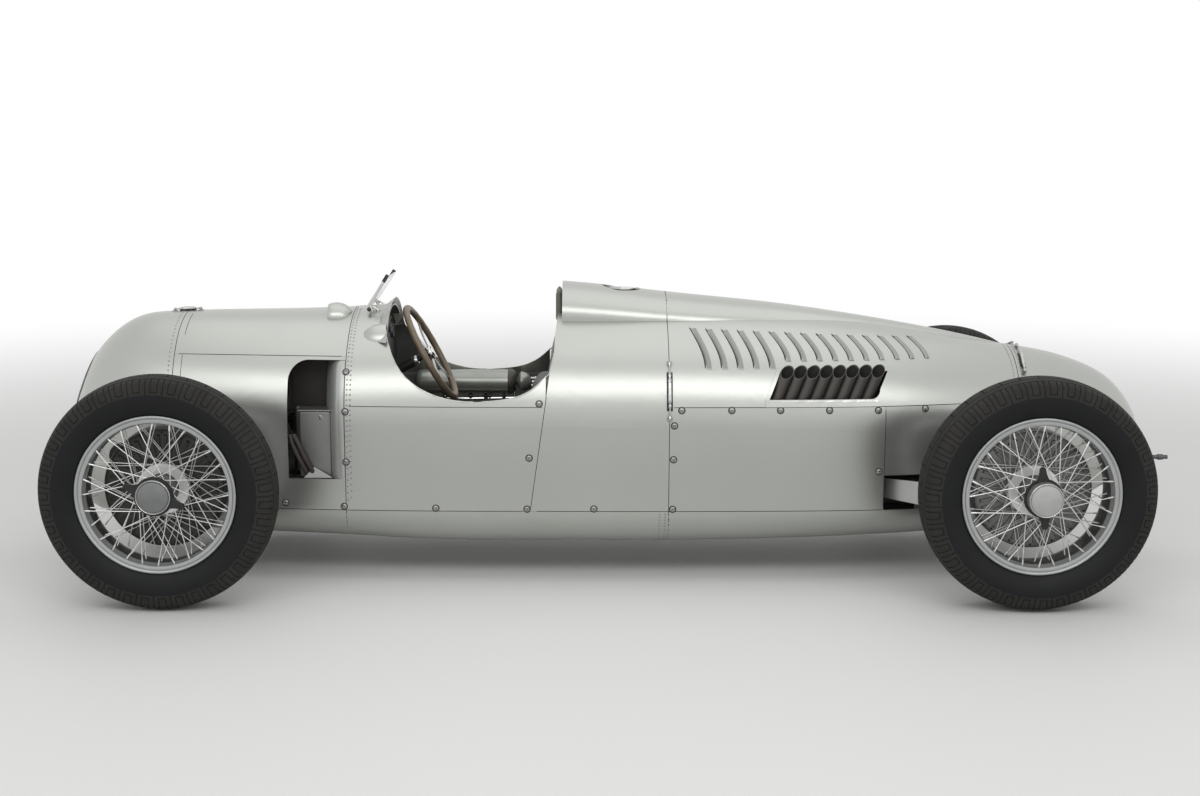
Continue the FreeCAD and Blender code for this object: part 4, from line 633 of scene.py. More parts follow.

# Wire wheels
# Rolled steel rims with beaded lips, a dark barrel hub between a broad pale disc and a small outer flange, and three
# rows of crossed tangent spokes with nipples at the rim. Silver painted; the inner rows and the rim's well are painted
# darker as shade.
wheel_silver = noise_finish("wheel_silver", (0.44, 0.455, 0.45), (0.35, 0.36, 0.355), 20, 0.36, 0.06, 0.5, 0.1, 400)
spoke_silver = noise_finish("spoke_silver", (0.84, 0.84, 0.82), (0.70, 0.70, 0.69), 60, 0.34, 0.06, 0.5, 0.05, 500)
well_shade = noise_finish("rim_well_shade", (0.13, 0.13, 0.126), (0.08, 0.08, 0.077), 30, 0.42, 0.08, 0.7, 0.1, 300)
shaded_spoke_grey = noise_finish("inner_spoke_painted_shade", (0.66, 0.66, 0.64), (0.50, 0.50, 0.49), 60, 0.4, 0.06, 0.6, 0.05, 500)
disc_silver = noise_finish("hub_disc_silver", (0.86, 0.87, 0.86), (0.74, 0.75, 0.74), 25, 0.3, 0.06, 0.45, 0.1, 400)
barrel_grey = noise_finish("hub_barrel_grey", (0.15, 0.14, 0.125), (0.08, 0.075, 0.07), 30, 0.45, 0.1, 0.6, 0.2, 300)
rim_half_widths = {"front": 0.0580, "rear": 0.0696}
spokes_in_row, spoke_wire, nipple_wire, nipple_end = 28, 0.0016, 0.0027, 0.0022
hub_spread, rim_spread = 0.0014, 0.0028
hub_inset, disc_thickness, well_margin = 0.115, 0.009, 0.033


def spun(outline, segments):
    """A closed outline of radii and distances outwards, turned about the wheel's axis."""
    outline = np.asarray(outline)
    turn = full_turn(segments)
    radius, out = outline[None, :, 0], np.repeat(outline[None, :, 1], segments, axis=0)
    points = np.stack([radius * np.cos(turn)[:, None], out, radius * np.sin(turn)[:, None]], axis=2)
    return points.reshape(-1, 3), grid_faces(segments, outline.shape[0], True, True)


def rim_outline(h):
    """The rim's outline, its outer half and that half's reflection: shallow well, sloping flank, step, groove and
    rolled lip, then back along the tyre's seat."""
    half = np.array(((0.2335, 0.0), (0.2335, h - 0.0320), (0.2365, h - 0.0260), (0.2385, h - 0.0160),
                     (0.2385, h - 0.0075), (0.2400, h - 0.0050), (0.2435, h - 0.0040), (0.2480, h - 0.0032),
                     (0.2508, h - 0.0036), (0.2522, h - 0.0056), (0.2538, h - 0.0036), (0.2555, h - 0.0016),
                     (0.2585, h), (0.2615, h - 0.0004), (0.2632, h - 0.0020), (0.2636, h - 0.0045),
                     (0.2630, h - 0.0058), (0.2560, h - 0.0062), (0.2450, h - 0.0062), (0.2410, h - 0.0072),
                     (0.2409, 0.0)))
    return np.vstack([half, half[::-1] * (1, -1)])


def spoke_set(hub_in, hub_out, h):
    """Three rows of straight round wires from hub to rim, each leaning one way or the other, with a thicker nipple
    at the rim. A row gives root radius and place, foot radius and place, offset round the wheel, and sweep."""
    sets = []
    pitch = 2 * math.pi / spokes_in_row
    for root, out_hub, foot, out_rim, offset, sweep in (
            (0.0556, hub_out - 0.0045, 0.2375, h - 0.0106, 0.0, 56),
            (0.0816, hub_in + 0.0045, 0.2330, 0.0056, 0.0, 52),
            (0.0816, hub_in + 0.0045, 0.2330, hub_in + 0.0112, 0.5, 52)):
        parts = []
        for k in range(spokes_in_row):
            hand = 1 if k % 2 else -1
            angle = (k + offset) * pitch
            start_angle = angle + hand * math.radians(sweep)
            start, end = [np.array((radius * math.cos(a), out, radius * math.sin(a)))
                          for radius, out, a in ((root, out_hub + hand * hub_spread, start_angle),
                                                 (foot, out_rim + hand * rim_spread, angle))]
            line = start + np.array((0, 0.905, 0.91, 0.975, 1.0))[:, None] * (end - start)
            parts.append(pipe_run(line, (spoke_wire, spoke_wire, nipple_wire, nipple_wire, nipple_end), 7))
        sets.append(parts)
    return gathered(sets[0]), gathered(sets[1] + sets[2])


for axle in ("front", "rear"):
    h = rim_half_widths[axle]
    hub_in, hub_out = h - hub_inset, h + 0.008
    disc_face = hub_in + disc_thickness
    disc_form = spun(((0.0250, hub_in), (0.0845, hub_in), (0.0860, hub_in + 0.0015), (0.0860, disc_face - 0.0015),
                      (0.0845, disc_face), (0.0250, disc_face)), 72)
    barrel_form = spun(((0.0250, disc_face - 0.001), (0.0540, disc_face - 0.001), (0.0485, disc_face + 0.007),
                        (0.0470, disc_face + 0.018), (0.0470, hub_out - 0.022), (0.0520, hub_out - 0.0105),
                        (0.0585, hub_out - 0.0090), (0.0600, hub_out - 0.0075), (0.0600, hub_out - 0.0010),
                        (0.0590, hub_out), (0.0250, hub_out)), 60)
    outer_wires, inner_wires = spoke_set(hub_in, hub_out, h)
    for name, form, finish in (("hub_disc", disc_form, disc_silver), ("hub_barrel", barrel_form, barrel_grey),
                               ("outer_spokes", outer_wires, spoke_silver),
                               ("inner_spokes", inner_wires, shaded_spoke_grey)):
        on_wheels(axle, name, form, finish, "wire_wheel")
    for rim in on_wheels(axle, "rim", spun(rim_outline(h), 144), wheel_silver, "wire_wheel"):
        # The faces of the well take the darker finish, painted shade.
        rim.data.materials.append(well_shade)
        for face in rim.data.polygons:
            face.material_index = int(abs(abs(face.center.y) - wheel_middle_y) < h - well_margin)

# Brake drums
# Cast iron drums behind the wires: radial ribs on the face, fins round the side, and sixteen dark discs near the edge
# that stand for holes, as painted shade.
# The front pair is painted darker.
drum_finishes = {
    "front": noise_finish("drum_iron_dark", (0.085, 0.083, 0.078), (0.04, 0.039, 0.037), 14, 0.5, 0.1, 0.7, 0.3, 150),
    "rear": noise_finish("drum_iron", (0.25, 0.25, 0.242), (0.15, 0.15, 0.146), 14, 0.5, 0.1, 0.8, 0.3, 150),
}
hole_shade_black = noise_finish("drum_hole_shadow", (0.012, 0.012, 0.012), (0.006, 0.006, 0.006), 40, 0.8, 0.1, 0.0, 0.1,
                          300)
drum_back, fin_pitch = -0.124, 0.0085
rib_count, rib_rise = 44, 0.0042
hole_ring, hole_radius = 0.1882, 0.0042


def drum_mesh(front):
    """A closed outline turned about the axis; between two radii the face stands out by the rib's height where the
    turn falls on a rib, with steep flanks."""
    floor_out = front - rib_rise
    face = [(0.0395, floor_out, 0), (0.0880, floor_out, 0), (0.0940, floor_out, 0), (0.0985, floor_out, 1),
            (0.1300, floor_out, 1), (0.1560, floor_out, 1), (0.1770, floor_out, 1), (0.1815, floor_out, 0),
            (0.1945, floor_out, 0), (0.1985, floor_out - 0.0020, 0), (0.1998, floor_out - 0.0050, 0)]
    side, out = [], floor_out - 0.008
    while out - fin_pitch > drum_back + 0.008:
        side += [(0.1998, out, 0), (0.1925, out - 0.0008, 0), (0.1925, out - 0.0045, 0), (0.1998, out - 0.0053, 0)]
        out -= fin_pitch
    side += [(0.2030, drum_back + 0.0078, 0), (0.2030, drum_back + 0.0002, 0), (0.0395, drum_back + 0.0002, 0)]
    outline = np.array(face + side)
    phases = np.array((0.0, 0.29, 0.37, 0.63, 0.71, 0.86))
    heights = np.array((0.0, 0.0, 1.0, 1.0, 0.0, 0.0))
    turn = ((np.arange(rib_count)[:, None] + phases[None]) * 2 * math.pi / rib_count).ravel()
    lift = np.tile(heights, rib_count)[:, None] * outline[None, :, 2] * rib_rise
    radius = outline[None, :, 0]
    points = np.stack([radius * np.cos(turn)[:, None], outline[None, :, 1] + lift, radius * np.sin(turn)[:, None]],
                      axis=2)
    return points, grid_faces(len(turn), len(outline), True, True)


for axle in ("front", "rear"):
    drum_front = rim_half_widths[axle] - hub_inset - 0.0006
    on_wheels(axle, "ribbed_drum", drum_mesh(drum_front), drum_finishes[axle], "brake_drum")
    hole_places = [(np.array((hole_ring * math.cos(a), drum_front - rib_rise, hole_ring * math.sin(a))), (0, 1, 0))
                   for a in full_turn(16)]
    on_wheels(axle, "drum_hole_shades", stud_rows(dome(hole_radius, 0.0004, rivet_rings, 10), hole_places), hole_shade_black,
              "brake_drum")

# Knock-off nuts
# Blackened rings with two tapering ears, round grey caps with a domed face inside a bright turned lip.
nut_black = noise_finish("nut_black", (0.035, 0.035, 0.035), (0.018, 0.018, 0.018), 30, 0.38, 0.1, 0.5, 0.2, 200)
cap_finishes = {
    "front": noise_finish("cap_grey_front", (0.24, 0.245, 0.245), (0.17, 0.175, 0.175), 30, 0.36, 0.08, 0.75, 0.15,
                          300),
    "rear": noise_finish("cap_grey_rear", (0.50, 0.50, 0.49), (0.38, 0.38, 0.37), 30, 0.38, 0.08, 0.75, 0.15, 300),
}
nut_reaches, ear_tilts = {"front": 0.035, "rear": 0.056}, {"front": -20.0, "rear": 95.0}


def ear_form(tilt, back):
    """One ear: cross sections with bevelled corners along it, whose half width falls along a hollow curve to a
    round tip; the section thins a little outwards."""
    reach = np.array((0.045, 0.052, 0.058, 0.064, 0.071, 0.079, 0.087, 0.0935, 0.0975, 0.1005, 0.1028, 0.1042, 0.1048))
    tip, centre = 0.0108, 0.0940
    half = np.where(reach <= centre, tip + 0.0180 * np.clip((centre - reach) / 0.048, 0, 1) ** 1.8,
                    np.sqrt(np.clip(tip ** 2 - (reach - centre) ** 2, 1e-7, None)))
    top = back + 0.012 - 0.003 * (reach - 0.045) / 0.06
    bevel = np.minimum(0.0026, half * 0.6)
    across = np.stack([-half, -half + bevel, half - bevel, half, half, half - bevel, -half + bevel, -half], axis=1)
    out = np.stack([back + bevel / 2, np.full_like(half, back), np.full_like(half, back), back + bevel / 2,
                    top - bevel, top, top, top - bevel], axis=1)
    turn = math.radians(tilt)
    along = reach[:, None] * math.cos(turn) - across * math.sin(turn)
    up = reach[:, None] * math.sin(turn) + across * math.cos(turn)
    return np.stack([along, out, up], axis=2), capped_faces(len(reach), 8)


for axle in ("front", "rear"):
    back, face = rim_half_widths[axle] + 0.0083, rim_half_widths[axle] + nut_reaches[axle]
    shoulder = face - 0.006
    ring_form = spun(((0.0560, back), (0.0636, back), (0.0650, back + 0.0014), (0.0650, back + 0.0058),
                      (0.0638, back + 0.0075), (0.0615, back + 0.0080), (0.0560, back + 0.0080)), 72)
    cap_face = [(r, shoulder + 0.006 * (1 - (r / 0.0505) ** 2)) for r in (0.0495, 0.047, 0.042, 0.034, 0.024, 0.012)]
    cap_form = spun([(0.0006, back), (0.0565, back), (0.0570, back + 0.0012), (0.0570, shoulder - 0.0026),
                     (0.0563, shoulder - 0.0030), (0.0515, shoulder - 0.0030)] + cap_face + [(0.0006, face)], 72)
    lip_form = spun([(0.0532, shoulder - 0.0034), (0.0566, shoulder - 0.0034), (0.0568, shoulder - 0.0020),
                     (0.0561, shoulder - 0.0006), (0.0551, shoulder), (0.0541, shoulder - 0.0006),
                     (0.0532, shoulder - 0.0020)], 72)
    ring_and_ears = gathered([ring_form, *[ear_form(ear_tilts[axle] + turn, back) for turn in (0, 180)]])
    for name, form, finish in (("eared_nut", ring_and_ears, nut_black), ("nut_cap", cap_form, cap_finishes[axle]),
                               ("nut_cap_lip", lip_form, bright_steel)):
        on_wheels(axle, name, form, finish, "hub_nut")

# Cockpit opening
# The sheet's edge is rolled over a wire all round the driver's opening, and painted with the panels.
opening_middle = (-0.60, 0.86)


def opening_edge(angle, side):
    """The skin point just outside the opening in one direction of the side view, found by halving."""
    near, far, found = 0.05, 0.62, None
    for _ in range(15):
        reach = (near + far) / 2
        sample = on_side(opening_middle[0] + reach * math.cos(angle), opening_middle[1] + reach * math.sin(angle), side)
        if sample is not None and sample[0][1] * side > 0.12:
            far, found = reach, sample
        else:
            near = reach
    return found


rolls = []
for side in (-1, 1):
    edge = [opening_edge(math.radians(a), side) for a in np.arange(-172, -8, 2.0)]
    edge = np.array([s[0] for s in edge if s is not None])
    steps = np.linalg.norm(np.diff(edge, axis=0), axis=1)
    edge = edge[np.concatenate([[True], steps < 0.08])]
    smooth_edge = edge.copy()
    smooth_edge[1:-1] = (edge[:-2] + 2 * edge[1:-1] + edge[2:]) / 4
    rolls.append(pipe_run(smooth_edge, 0.0021, 10))
make_piece("opening_edge_roll", rolls, silver_paint, True)

# Cockpit floor, dashboard and bulkhead
# Sheet in dark grey-green paint; the dashboard carries one large and three small dials in grey bezels.
cockpit_paint = noise_finish("cockpit_paint", (0.040, 0.043, 0.040), (0.024, 0.026, 0.025), 7, 0.5, 0.1, 0.1, 0.2,
                             220)
bulkhead_hide = noise_finish("bulkhead_hide", (0.075, 0.066, 0.056), (0.042, 0.037, 0.032), 14, 0.55, 0.1, 0.0, 0.4,
                             260)
dial_black = noise_finish("dial_black", (0.015, 0.015, 0.015), (0.009, 0.009, 0.009), 40, 0.4, 0.1, 0.0, 0.05, 300)
dial_white = noise_finish("dial_white", (0.80, 0.79, 0.74), (0.70, 0.69, 0.64), 60, 0.5, 0.05, 0.0, 0.05, 300)
coat(cockpit_paint, "cockpit_floor", "dashboard")
coat(bulkhead_hide, "seat_bulkhead")
dash_face = -0.8945


def facing_driver(outline, y, z, segments=40):
    """A closed outline of radii and distances towards the driver, turned about a line through y and z."""
    points, faces = spun(outline, segments)
    return np.stack([dash_face + points[:, 1], y + points[:, 0], z + points[:, 2]], axis=1), faces[:, ::-1]


bezels, dial_faces, marks = [], [], []
dial_sweep = math.radians(22.5)
for y, z, size in ((0.0, 0.872, 0.052), (-0.125, 0.852, 0.031), (0.125, 0.852, 0.031), (0.205, 0.815, 0.024)):
    bezels.append(facing_driver(((size, 0.0002), (size, 0.008), (size - 0.002, 0.0105), (size - 0.005, 0.0105),
                                 (size - 0.0065, 0.006), (size - 0.0065, 0.0002)), y, z))
    dial_faces.append(facing_driver(((0.0005, 0.0002), (size - 0.006, 0.0002), (size - 0.006, 0.0045),
                                     (0.0005, 0.0045)), y, z))
    hands = [(math.radians(225) - dial_sweep * k, 0.80 - (0.18 if k % 3 == 0 else 0.1), 0.80, 0.0047, 0.0007)
             for k in range(13)] + [(math.radians(205), -0.15, 0.6, 0.0060, (0.0014, 0.0005))]
    for angle, start, end, lift, radii in hands:
        way = size * np.array((0.0, math.cos(angle), math.sin(angle)))
        middle = np.array((dash_face + lift, y, z))
        marks.append(pipe_run([middle + way * start, middle + way * end], radii, 6))
make_piece("dial_bezels", bezels, axle_grey, True)
make_piece("dial_faces", dial_faces, dial_black, False)
make_piece("dial_marks", marks, dial_white, False)

# Side tank
# A dull metal tube along the far side of the cockpit, with a dark collar, a domed cap and three unions at its rear
# end, and a row of small fittings on a pipe under it.
tank_polish = noise_finish("tank_polish", (0.40, 0.41, 0.375), (0.25, 0.26, 0.235), 10, 0.3, 0.07, 0.45, 0.15, 260)
tank_line, tank_widening = (0.336, 0.603), 1.25


def lying_round(outline, segments=48):
    """A closed outline of radii and places along the car, turned about the tank's line and widened across it."""
    points, faces = spun(outline, segments)
    return np.stack([points[:, 1], tank_line[0] + points[:, 0] * tank_widening, tank_line[1] + points[:, 2]],
                    axis=1), faces


tube = lying_round([(0.001, -0.817), (0.022, -0.816), (0.036, -0.811), (0.043, -0.802), (0.0455, -0.788),
                    (0.0455, -0.66), (0.0455, -0.56), (0.0455, -0.4535), (0.001, -0.4535)])
collar = lying_round([(0.001, -0.455), (0.0475, -0.455), (0.0485, -0.452), (0.0485, -0.440), (0.0440, -0.432),
                      (0.0380, -0.426), (0.001, -0.426)])
cap_turn = np.radians(np.arange(0, 91, 9))
dome_end = lying_round([(0.001, -0.430)] + [(0.0375 * math.cos(a) + 0.0005, -0.405 + 0.046 * math.sin(a))
                                            for a in cap_turn])
make_piece("side_tank_tube", [tube, dome_end], tank_polish, True, stands_for="side_tank")
make_piece("side_tank_collar", [collar], bulkhead_hide, True, stands_for="side_tank")
small_bits = []
for x, z, r in ((-0.353, 0.618, 0.008), (-0.349, 0.604, 0.010), (-0.352, 0.590, 0.007)):
    union_steps = ((-0.012, r * 0.7), (0, r * 0.7), (0.002, r), (0.010, r))
    small_bits.append(pipe_run([(x + step, 0.318, z) for step, _ in union_steps], [wide for _, wide in union_steps], 6))
for k, x in enumerate((-0.775, -0.755, -0.700, -0.655, -0.600, -0.540, -0.525, -0.470)):
    size = 0.006 + 0.002 * (k % 3)
    small_bits.append(pipe_run([(x, 0.290, z) for z in (0.545, 0.553, 0.554, 0.563)],
                               (size, size, size * 0.6, size * 0.6), 8))
small_bits.append(pipe_run([(-0.81, 0.292, 0.544), (-0.60, 0.290, 0.542), (-0.42, 0.292, 0.545)], 0.0045, 8))
for x in (-0.79, -0.43):
    small_bits.append(pipe_run([(x, 0.292, 0.544), (x, 0.305, 0.560), (x, 0.318, 0.572)], 0.0045, 8))
make_piece("side_tank_fittings", small_bits, bright_steel, True)

# Steering wheel and column
# A laminated wooden rim on four sprung spokes, each of two flat bright strips, round a bright boss with six bolts.
rim_wood = noise_finish("rim_wood", (0.235, 0.185, 0.125), (0.105, 0.075, 0.048), 22, 0.42, 0.08, 0.0, 0.2, 160)
column_black = noise_finish("column_black", (0.045, 0.045, 0.043), (0.025, 0.025, 0.024), 30, 0.4, 0.1, 0.5, 0.2, 300)
wheel_centre = np.array((-0.7245, 0.0, 0.762))
toward = np.array((0.88130, 0.0, 0.47255))
rightward = np.array((0.0, 1.0, 0.0))
topward = np.cross(toward, rightward)
topward = topward * np.sign(topward[2])


def wheel_place(across, up, out):
    """Points from measures across, up and towards the driver in the steering wheel's own plane."""
    return (wheel_centre + np.asarray(across)[..., None] * rightward + np.asarray(up)[..., None] * topward
            + np.asarray(out)[..., None] * toward)


turn, grip_turn = full_turn(120), full_turn(16)
grip = 1 - 0.035 * (np.cos(turn * 24) > 0.2) * (np.abs(np.sin(turn)) < 0.94)
ring = 0.183 + 0.0135 * grip[:, None] * np.cos(grip_turn)
rim_points = wheel_place(ring * np.cos(turn)[:, None], ring * np.sin(turn)[:, None],
                         0.0125 * grip[:, None] * np.sin(grip_turn))
make_piece("steering_rim", [(rim_points, grid_faces(120, 16, True, True))], rim_wood, True,
           "steering_wheel", "steering_wheel")
metal = []
spoke_half, spoke_thick, spoke_offset = 0.0052, 0.0012, 0.0075
corners = np.array(((-spoke_half, -spoke_thick), (spoke_half, -spoke_thick), (spoke_half, spoke_thick),
                    (-spoke_half, spoke_thick)))
stations = (0.020, 0.060, 0.110, 0.150, 0.176)
for k in range(4):
    angle = math.pi / 4 + k * math.pi / 2
    for offset in (-spoke_offset, spoke_offset):
        loops = []
        for s in stations:
            sideways = offset * (0.9 + 1.4 * s) + corners[:, 0]
            loops.append(wheel_place(s * math.cos(angle) - sideways * math.sin(angle),
                                     s * math.sin(angle) + sideways * math.cos(angle),
                                     corners[:, 1] - 0.006 * math.sin(math.pi * s / 0.19)))
        metal.append((np.array(loops), capped_faces(len(stations), 4)))


def boss(outline, segments=48):
    """A closed outline of radii and distances towards the driver, turned about the steering axis."""
    points, faces = spun(outline, segments)
    return wheel_place(points[:, 0], points[:, 2], points[:, 1]), faces


metal.append(boss(((0.0005, -0.014), (0.024, -0.014), (0.026, -0.011), (0.026, 0.004), (0.0245, 0.006), (0.018, 0.007),
                   (0.016, 0.011), (0.0005, 0.012))))
for angle in full_turn(6):
    base = wheel_place(0.0205 * math.cos(angle), 0.0205 * math.sin(angle), 0.005)
    metal.append(pipe_run([base, base + toward * 0.0045], 0.0026, 6))
knob = wheel_place(0.0, 0.0, -0.066)
metal.append(pipe_run([knob - toward * s for s in (-0.012, -0.010, -0.004, 0.004, 0.010, 0.012)],
                      (0.008, 0.016, 0.0185, 0.0185, 0.016, 0.010), 24))
make_piece("steering_arms_and_boss", metal, bright_steel, True, "steering_wheel",
           "steering_wheel")
make_piece("steering_shaft", [pipe_run([wheel_centre - toward * s for s in (0.012, 0.3, 0.588)], 0.0098, 20)],
           column_black, True, "steering_wheel", "steering_wheel")
coat(column_black, "steering_column")

# Seat, back and head pad
# Hide cushions over springs, in sewn channels, left plain at the edges; the head pad hangs on the fairing's front,
# and padding covers the bulkhead from the seat back up to its rim.
seat_hide = noise_finish("seat_hide", (0.060, 0.050, 0.042), (0.030, 0.025, 0.021), 16, 0.48, 0.1, 0.0, 0.5, 320)
pad_hide = noise_finish("pad_hide", (0.21, 0.195, 0.165), (0.13, 0.12, 0.10), 16, 0.6, 0.1, 0.0, 0.5, 320)
valley_half, valley_depth, sewn_span, hide_margin = 0.085, 0.009, 0.93, 0.0006


def corner_places(mesh):
    """A mesh's corners as an array of places."""
    return np.array([corner.co for corner in mesh.vertices])


def stuffed(name, low, high, channels, sew_axis, finish, replaces_node, cap, reshape=None):
    """A cushion: a rounded block blown up as cloth, its moves held below a cap, then sewn into upright channels, which
    are valleys across the car, deepest at the middle of the faces that look along the sewing axis."""
    low, high = np.array(low), np.array(high)
    middle, half = (low + high) / 2, (high - low) / 2
    inset = np.minimum(half * 0.34, 0.012)
    bpy.ops.mesh.primitive_cube_add(size=2)
    pad = bpy.context.object
    pad.name = name
    pad.data.vertices.foreach_set("co", (corner_places(pad.data) * (half - inset) + middle).ravel())
    bevel = pad.modifiers.new("round", "BEVEL")
    bevel.width, bevel.segments = float(min(half - inset)) * 0.7, 4
    grain = pad.modifiers.new("even", "REMESH")
    grain.mode, grain.voxel_size = "VOXEL", 0.006
    for modifier in ("round", "even"):
        bpy.ops.object.modifier_apply(modifier=modifier)
    start = corner_places(pad.data)
    cloth = pad.modifiers.new("stuffing", "CLOTH")
    cloth.settings.use_pressure = True
    cloth.settings.uniform_pressure_force = 4
    cloth.settings.effector_weights.gravity = 0
    cloth.settings.quality = 5
    cloth.point_cache.frame_start, cloth.point_cache.frame_end = 1, 20
    for frame_number in range(1, 21):
        bpy.context.scene.frame_set(frame_number)
    bpy.ops.object.modifier_apply(modifier="stuffing")
    bpy.context.scene.frame_set(1)
    move = corner_places(pad.data) - start
    reach = np.linalg.norm(move, axis=1, keepdims=True)
    placed = start + move * np.minimum(1, cap / np.maximum(reach, 1e-9))
    share = (placed - middle) / half
    rows = (share[:, 1] + 1) / 2 * channels
    valley = np.exp(-((rows - np.round(rows)) / valley_half) ** 2) * (np.abs(share[:, 1]) < sewn_span)
    face = np.clip(np.abs(share[:, sew_axis]) * 1.6 - 0.6, 0, 1)
    placed[:, sew_axis] -= np.sign(share[:, sew_axis]) * valley * face * min(valley_depth, half[sew_axis] * 0.3)
    placed = np.clip(placed, low + hide_margin, high - hide_margin)
    if reshape is not None:
        placed = reshape(placed)
    pad.data.vertices.foreach_set("co", placed.ravel())
    pad.data.materials.append(finish)
    pad.data.polygons.foreach_set("use_smooth", np.ones(len(pad.data.polygons), bool))
    fine = pad.modifiers.new("fine", "SUBSURF")
    fine.levels = fine.render_levels = 1
    bpy.ops.object.modifier_apply(modifier="fine")
    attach(pad, "chassis")
    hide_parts(replaces_node)


lining_back, lining_low, lining_high, lining_half = -0.2345, 0.694, 0.868, 0.300
lining_levels = np.linspace(lining_low, lining_high, 12)
lining_hits = side_row(-0.222, lining_levels, 1)
lining_widths = [hit[0][1] - 0.020 if hit else lining_half for hit in lining_hits]


def lining_form(points):
    """The bulkhead's padding: as wide as the body less the panels, and thinner towards the top."""
    thick = np.interp(points[:, 2], (lining_low, lining_high), (1.0, 0.32))
    wide = np.interp(points[:, 2], lining_levels, lining_widths) / lining_half
    return np.stack([lining_back + (points[:, 0] - lining_back) * thick, points[:, 1] * wide, points[:, 2]], axis=1)


stuffed("seat_cushion_hide", (-0.6975, -0.172, 0.1995), (-0.3534, 0.172, 0.3111), 7, 2, seat_hide, "seat_cushion",
        0.014)
stuffed("seat_back_hide", (-0.3514, -0.196, 0.355), (-0.2336, 0.196, 0.690), 8, 0, seat_hide, "seat_back", 0.014)
stuffed("head_pad_hide", (-0.2620, -0.104, 0.872), (-0.2377, 0.104, 1.014), 1, 0, pad_hide, "head_pad", 0.008)
stuffed("bulkhead_lining_hide", (-0.297, -lining_half, lining_low), (lining_back, lining_half, lining_high), 3, 0,
        seat_hide, "seat_back", 0.008, lining_form)

# Windscreen
# A small clear pane leaning back in a bright channel, with black rubber ends at its top corners, and two black
# thumb screws and plain brackets a side at its foot.
glass = noise_finish("screen_glass", (0.97, 0.98, 0.97), (0.95, 0.96, 0.955), 3, 0.03, 0.01, 0.0, 0.0, 10)
for entry, value in (("Transmission Weight", 1), ("IOR", 1.45)):
    glass.node_tree.nodes["Principled BSDF"].inputs[entry].default_value = value
coat(glass, "windscreen_glass")
screen_foot, screen_head = np.array((-0.9390, 0.9420)), np.array((-0.8665, 1.0570))
screen_up = np.array((screen_head[0] - screen_foot[0], 0.0, screen_head[1] - screen_foot[1]))
screen_up /= np.linalg.norm(screen_up)
screen_back = np.array((screen_up[2], 0.0, -screen_up[0]))
bevel_share, screen_half = 0.35, 0.1075
ball_shares = (-1.0, -0.8, -0.4, 0.0, 0.4, 0.8, 1.0)
ball_radii = [max(0.0078 * math.sqrt(1 - t * t), 0.0008) for t in ball_shares]


def screen_bar(start, end, half_across, half_deep):
    """A bar with bevelled edges between two points in the screen's plane."""
    across = np.cross((end - start) / np.linalg.norm(end - start), screen_back)
    cut = bevel_share * min(half_across, half_deep)
    outline = ((half_across, half_deep - cut), (half_across - cut, half_deep), (cut - half_across, half_deep),
               (-half_across, half_deep - cut), (-half_across, cut - half_deep), (cut - half_across, -half_deep),
               (half_across - cut, -half_deep), (half_across, cut - half_deep))
    points = np.array([base + across * u + screen_back * v for base in (start, end) for u, v in outline])
    return points, facing_outwards(points, capped_faces(2, 8))


def screen_point(share, y, back=0.0):
    """A point on the screen's middle plane at a share of its height."""
    flat = screen_foot + (screen_head - screen_foot) * share
    return np.array((flat[0], y, flat[1])) + screen_back * back


channel, rubber = [screen_bar(screen_point(0.03, -screen_half), screen_point(0.03, screen_half), 0.0042, 0.0052)], []
for side in (-1, 1):
    edge = side * screen_half
    channel.append(screen_bar(screen_point(0.0, edge), screen_point(0.97, edge), 0.0032, 0.0050))
    rubber.append(screen_bar(screen_point(0.78, edge), screen_point(1.0, edge), 0.0044, 0.0064))
    for x, z, reach in ((-0.9335, 0.934, 0.014), (-0.9360, 0.911, 0.006)):
        start = np.array((x, side * 0.104, z))
        end = start + (0, side * reach, 0)
        channel.append(pipe_run([start, end], 0.0034, 10))
        rubber.append(pipe_run([end + (0, side * (0.007 + 0.0075 * t), 0) for t in ball_shares], ball_radii, 14))
    for x, back in ((-0.926, -0.004), (-0.905, 0.012)):
        foot, up = touch((x, side * 0.098, 1.3), (0, 0, -1))
        top = screen_point(0.06, side * 0.098, back)
        channel.append(pipe_run([foot, foot + up * 0.004, foot + up * 0.0042, top],
                                (0.0085, 0.0085, 0.0038, 0.0032), 12))
make_piece("screen_channel", channel, bright_steel, True, stands_for="windscreen_frame")
make_piece("screen_rubber_and_knobs", rubber, hose_black, True,
           stands_for="windscreen_frame")

# Filler
# A steel neck in a sheet dish on top of the tank, with a hinged cap.
coat(bright_steel, "filler_neck", "filler_cap")

# Exhaust stubs and starter shaft
# Eight steel stubs a side, grey and brown from heat, with a soot-black bore, over a bright steel strip along the sill,
# a painted highlight; the starter dog shaft runs out of the tail.
burnt_steel = noise_finish("burnt_steel", (0.105, 0.098, 0.090), (0.055, 0.050, 0.047), 11, 0.5, 0.12, 0.5, 0.35, 160)
soot = noise_finish("soot", (0.010, 0.009, 0.008), (0.005, 0.0045, 0.004), 30, 0.85, 0.1, 0.0, 0.2, 200)
coat(burnt_steel, "exhaust_stubs")
coat(axle_grey, "starter_shaft")
sill_outline = ((-0.0035, -0.0004), (0.0035, -0.0004), (0.0030, 0.0012), (-0.0030, 0.0012))
sill_highlights = [swept_on_skin(side_row(np.linspace(0.480, 0.868, 40), 0.6455, side), sill_outline) for side in (-1, 1)]
make_piece("exhaust_sill_highlights", sill_highlights, bright_steel, False)
stub_axis = np.array((0.38, 0.0, 1.0)) / math.hypot(0.38, 1.0)
stub_across = np.cross(stub_axis, (0.0, 1.0, 0.0))
stub_turn = full_turn(28)[:, None]
bore, mouth_height, bore_foot = 0.0194, 0.743 - 0.0016, 0.02
linings = []
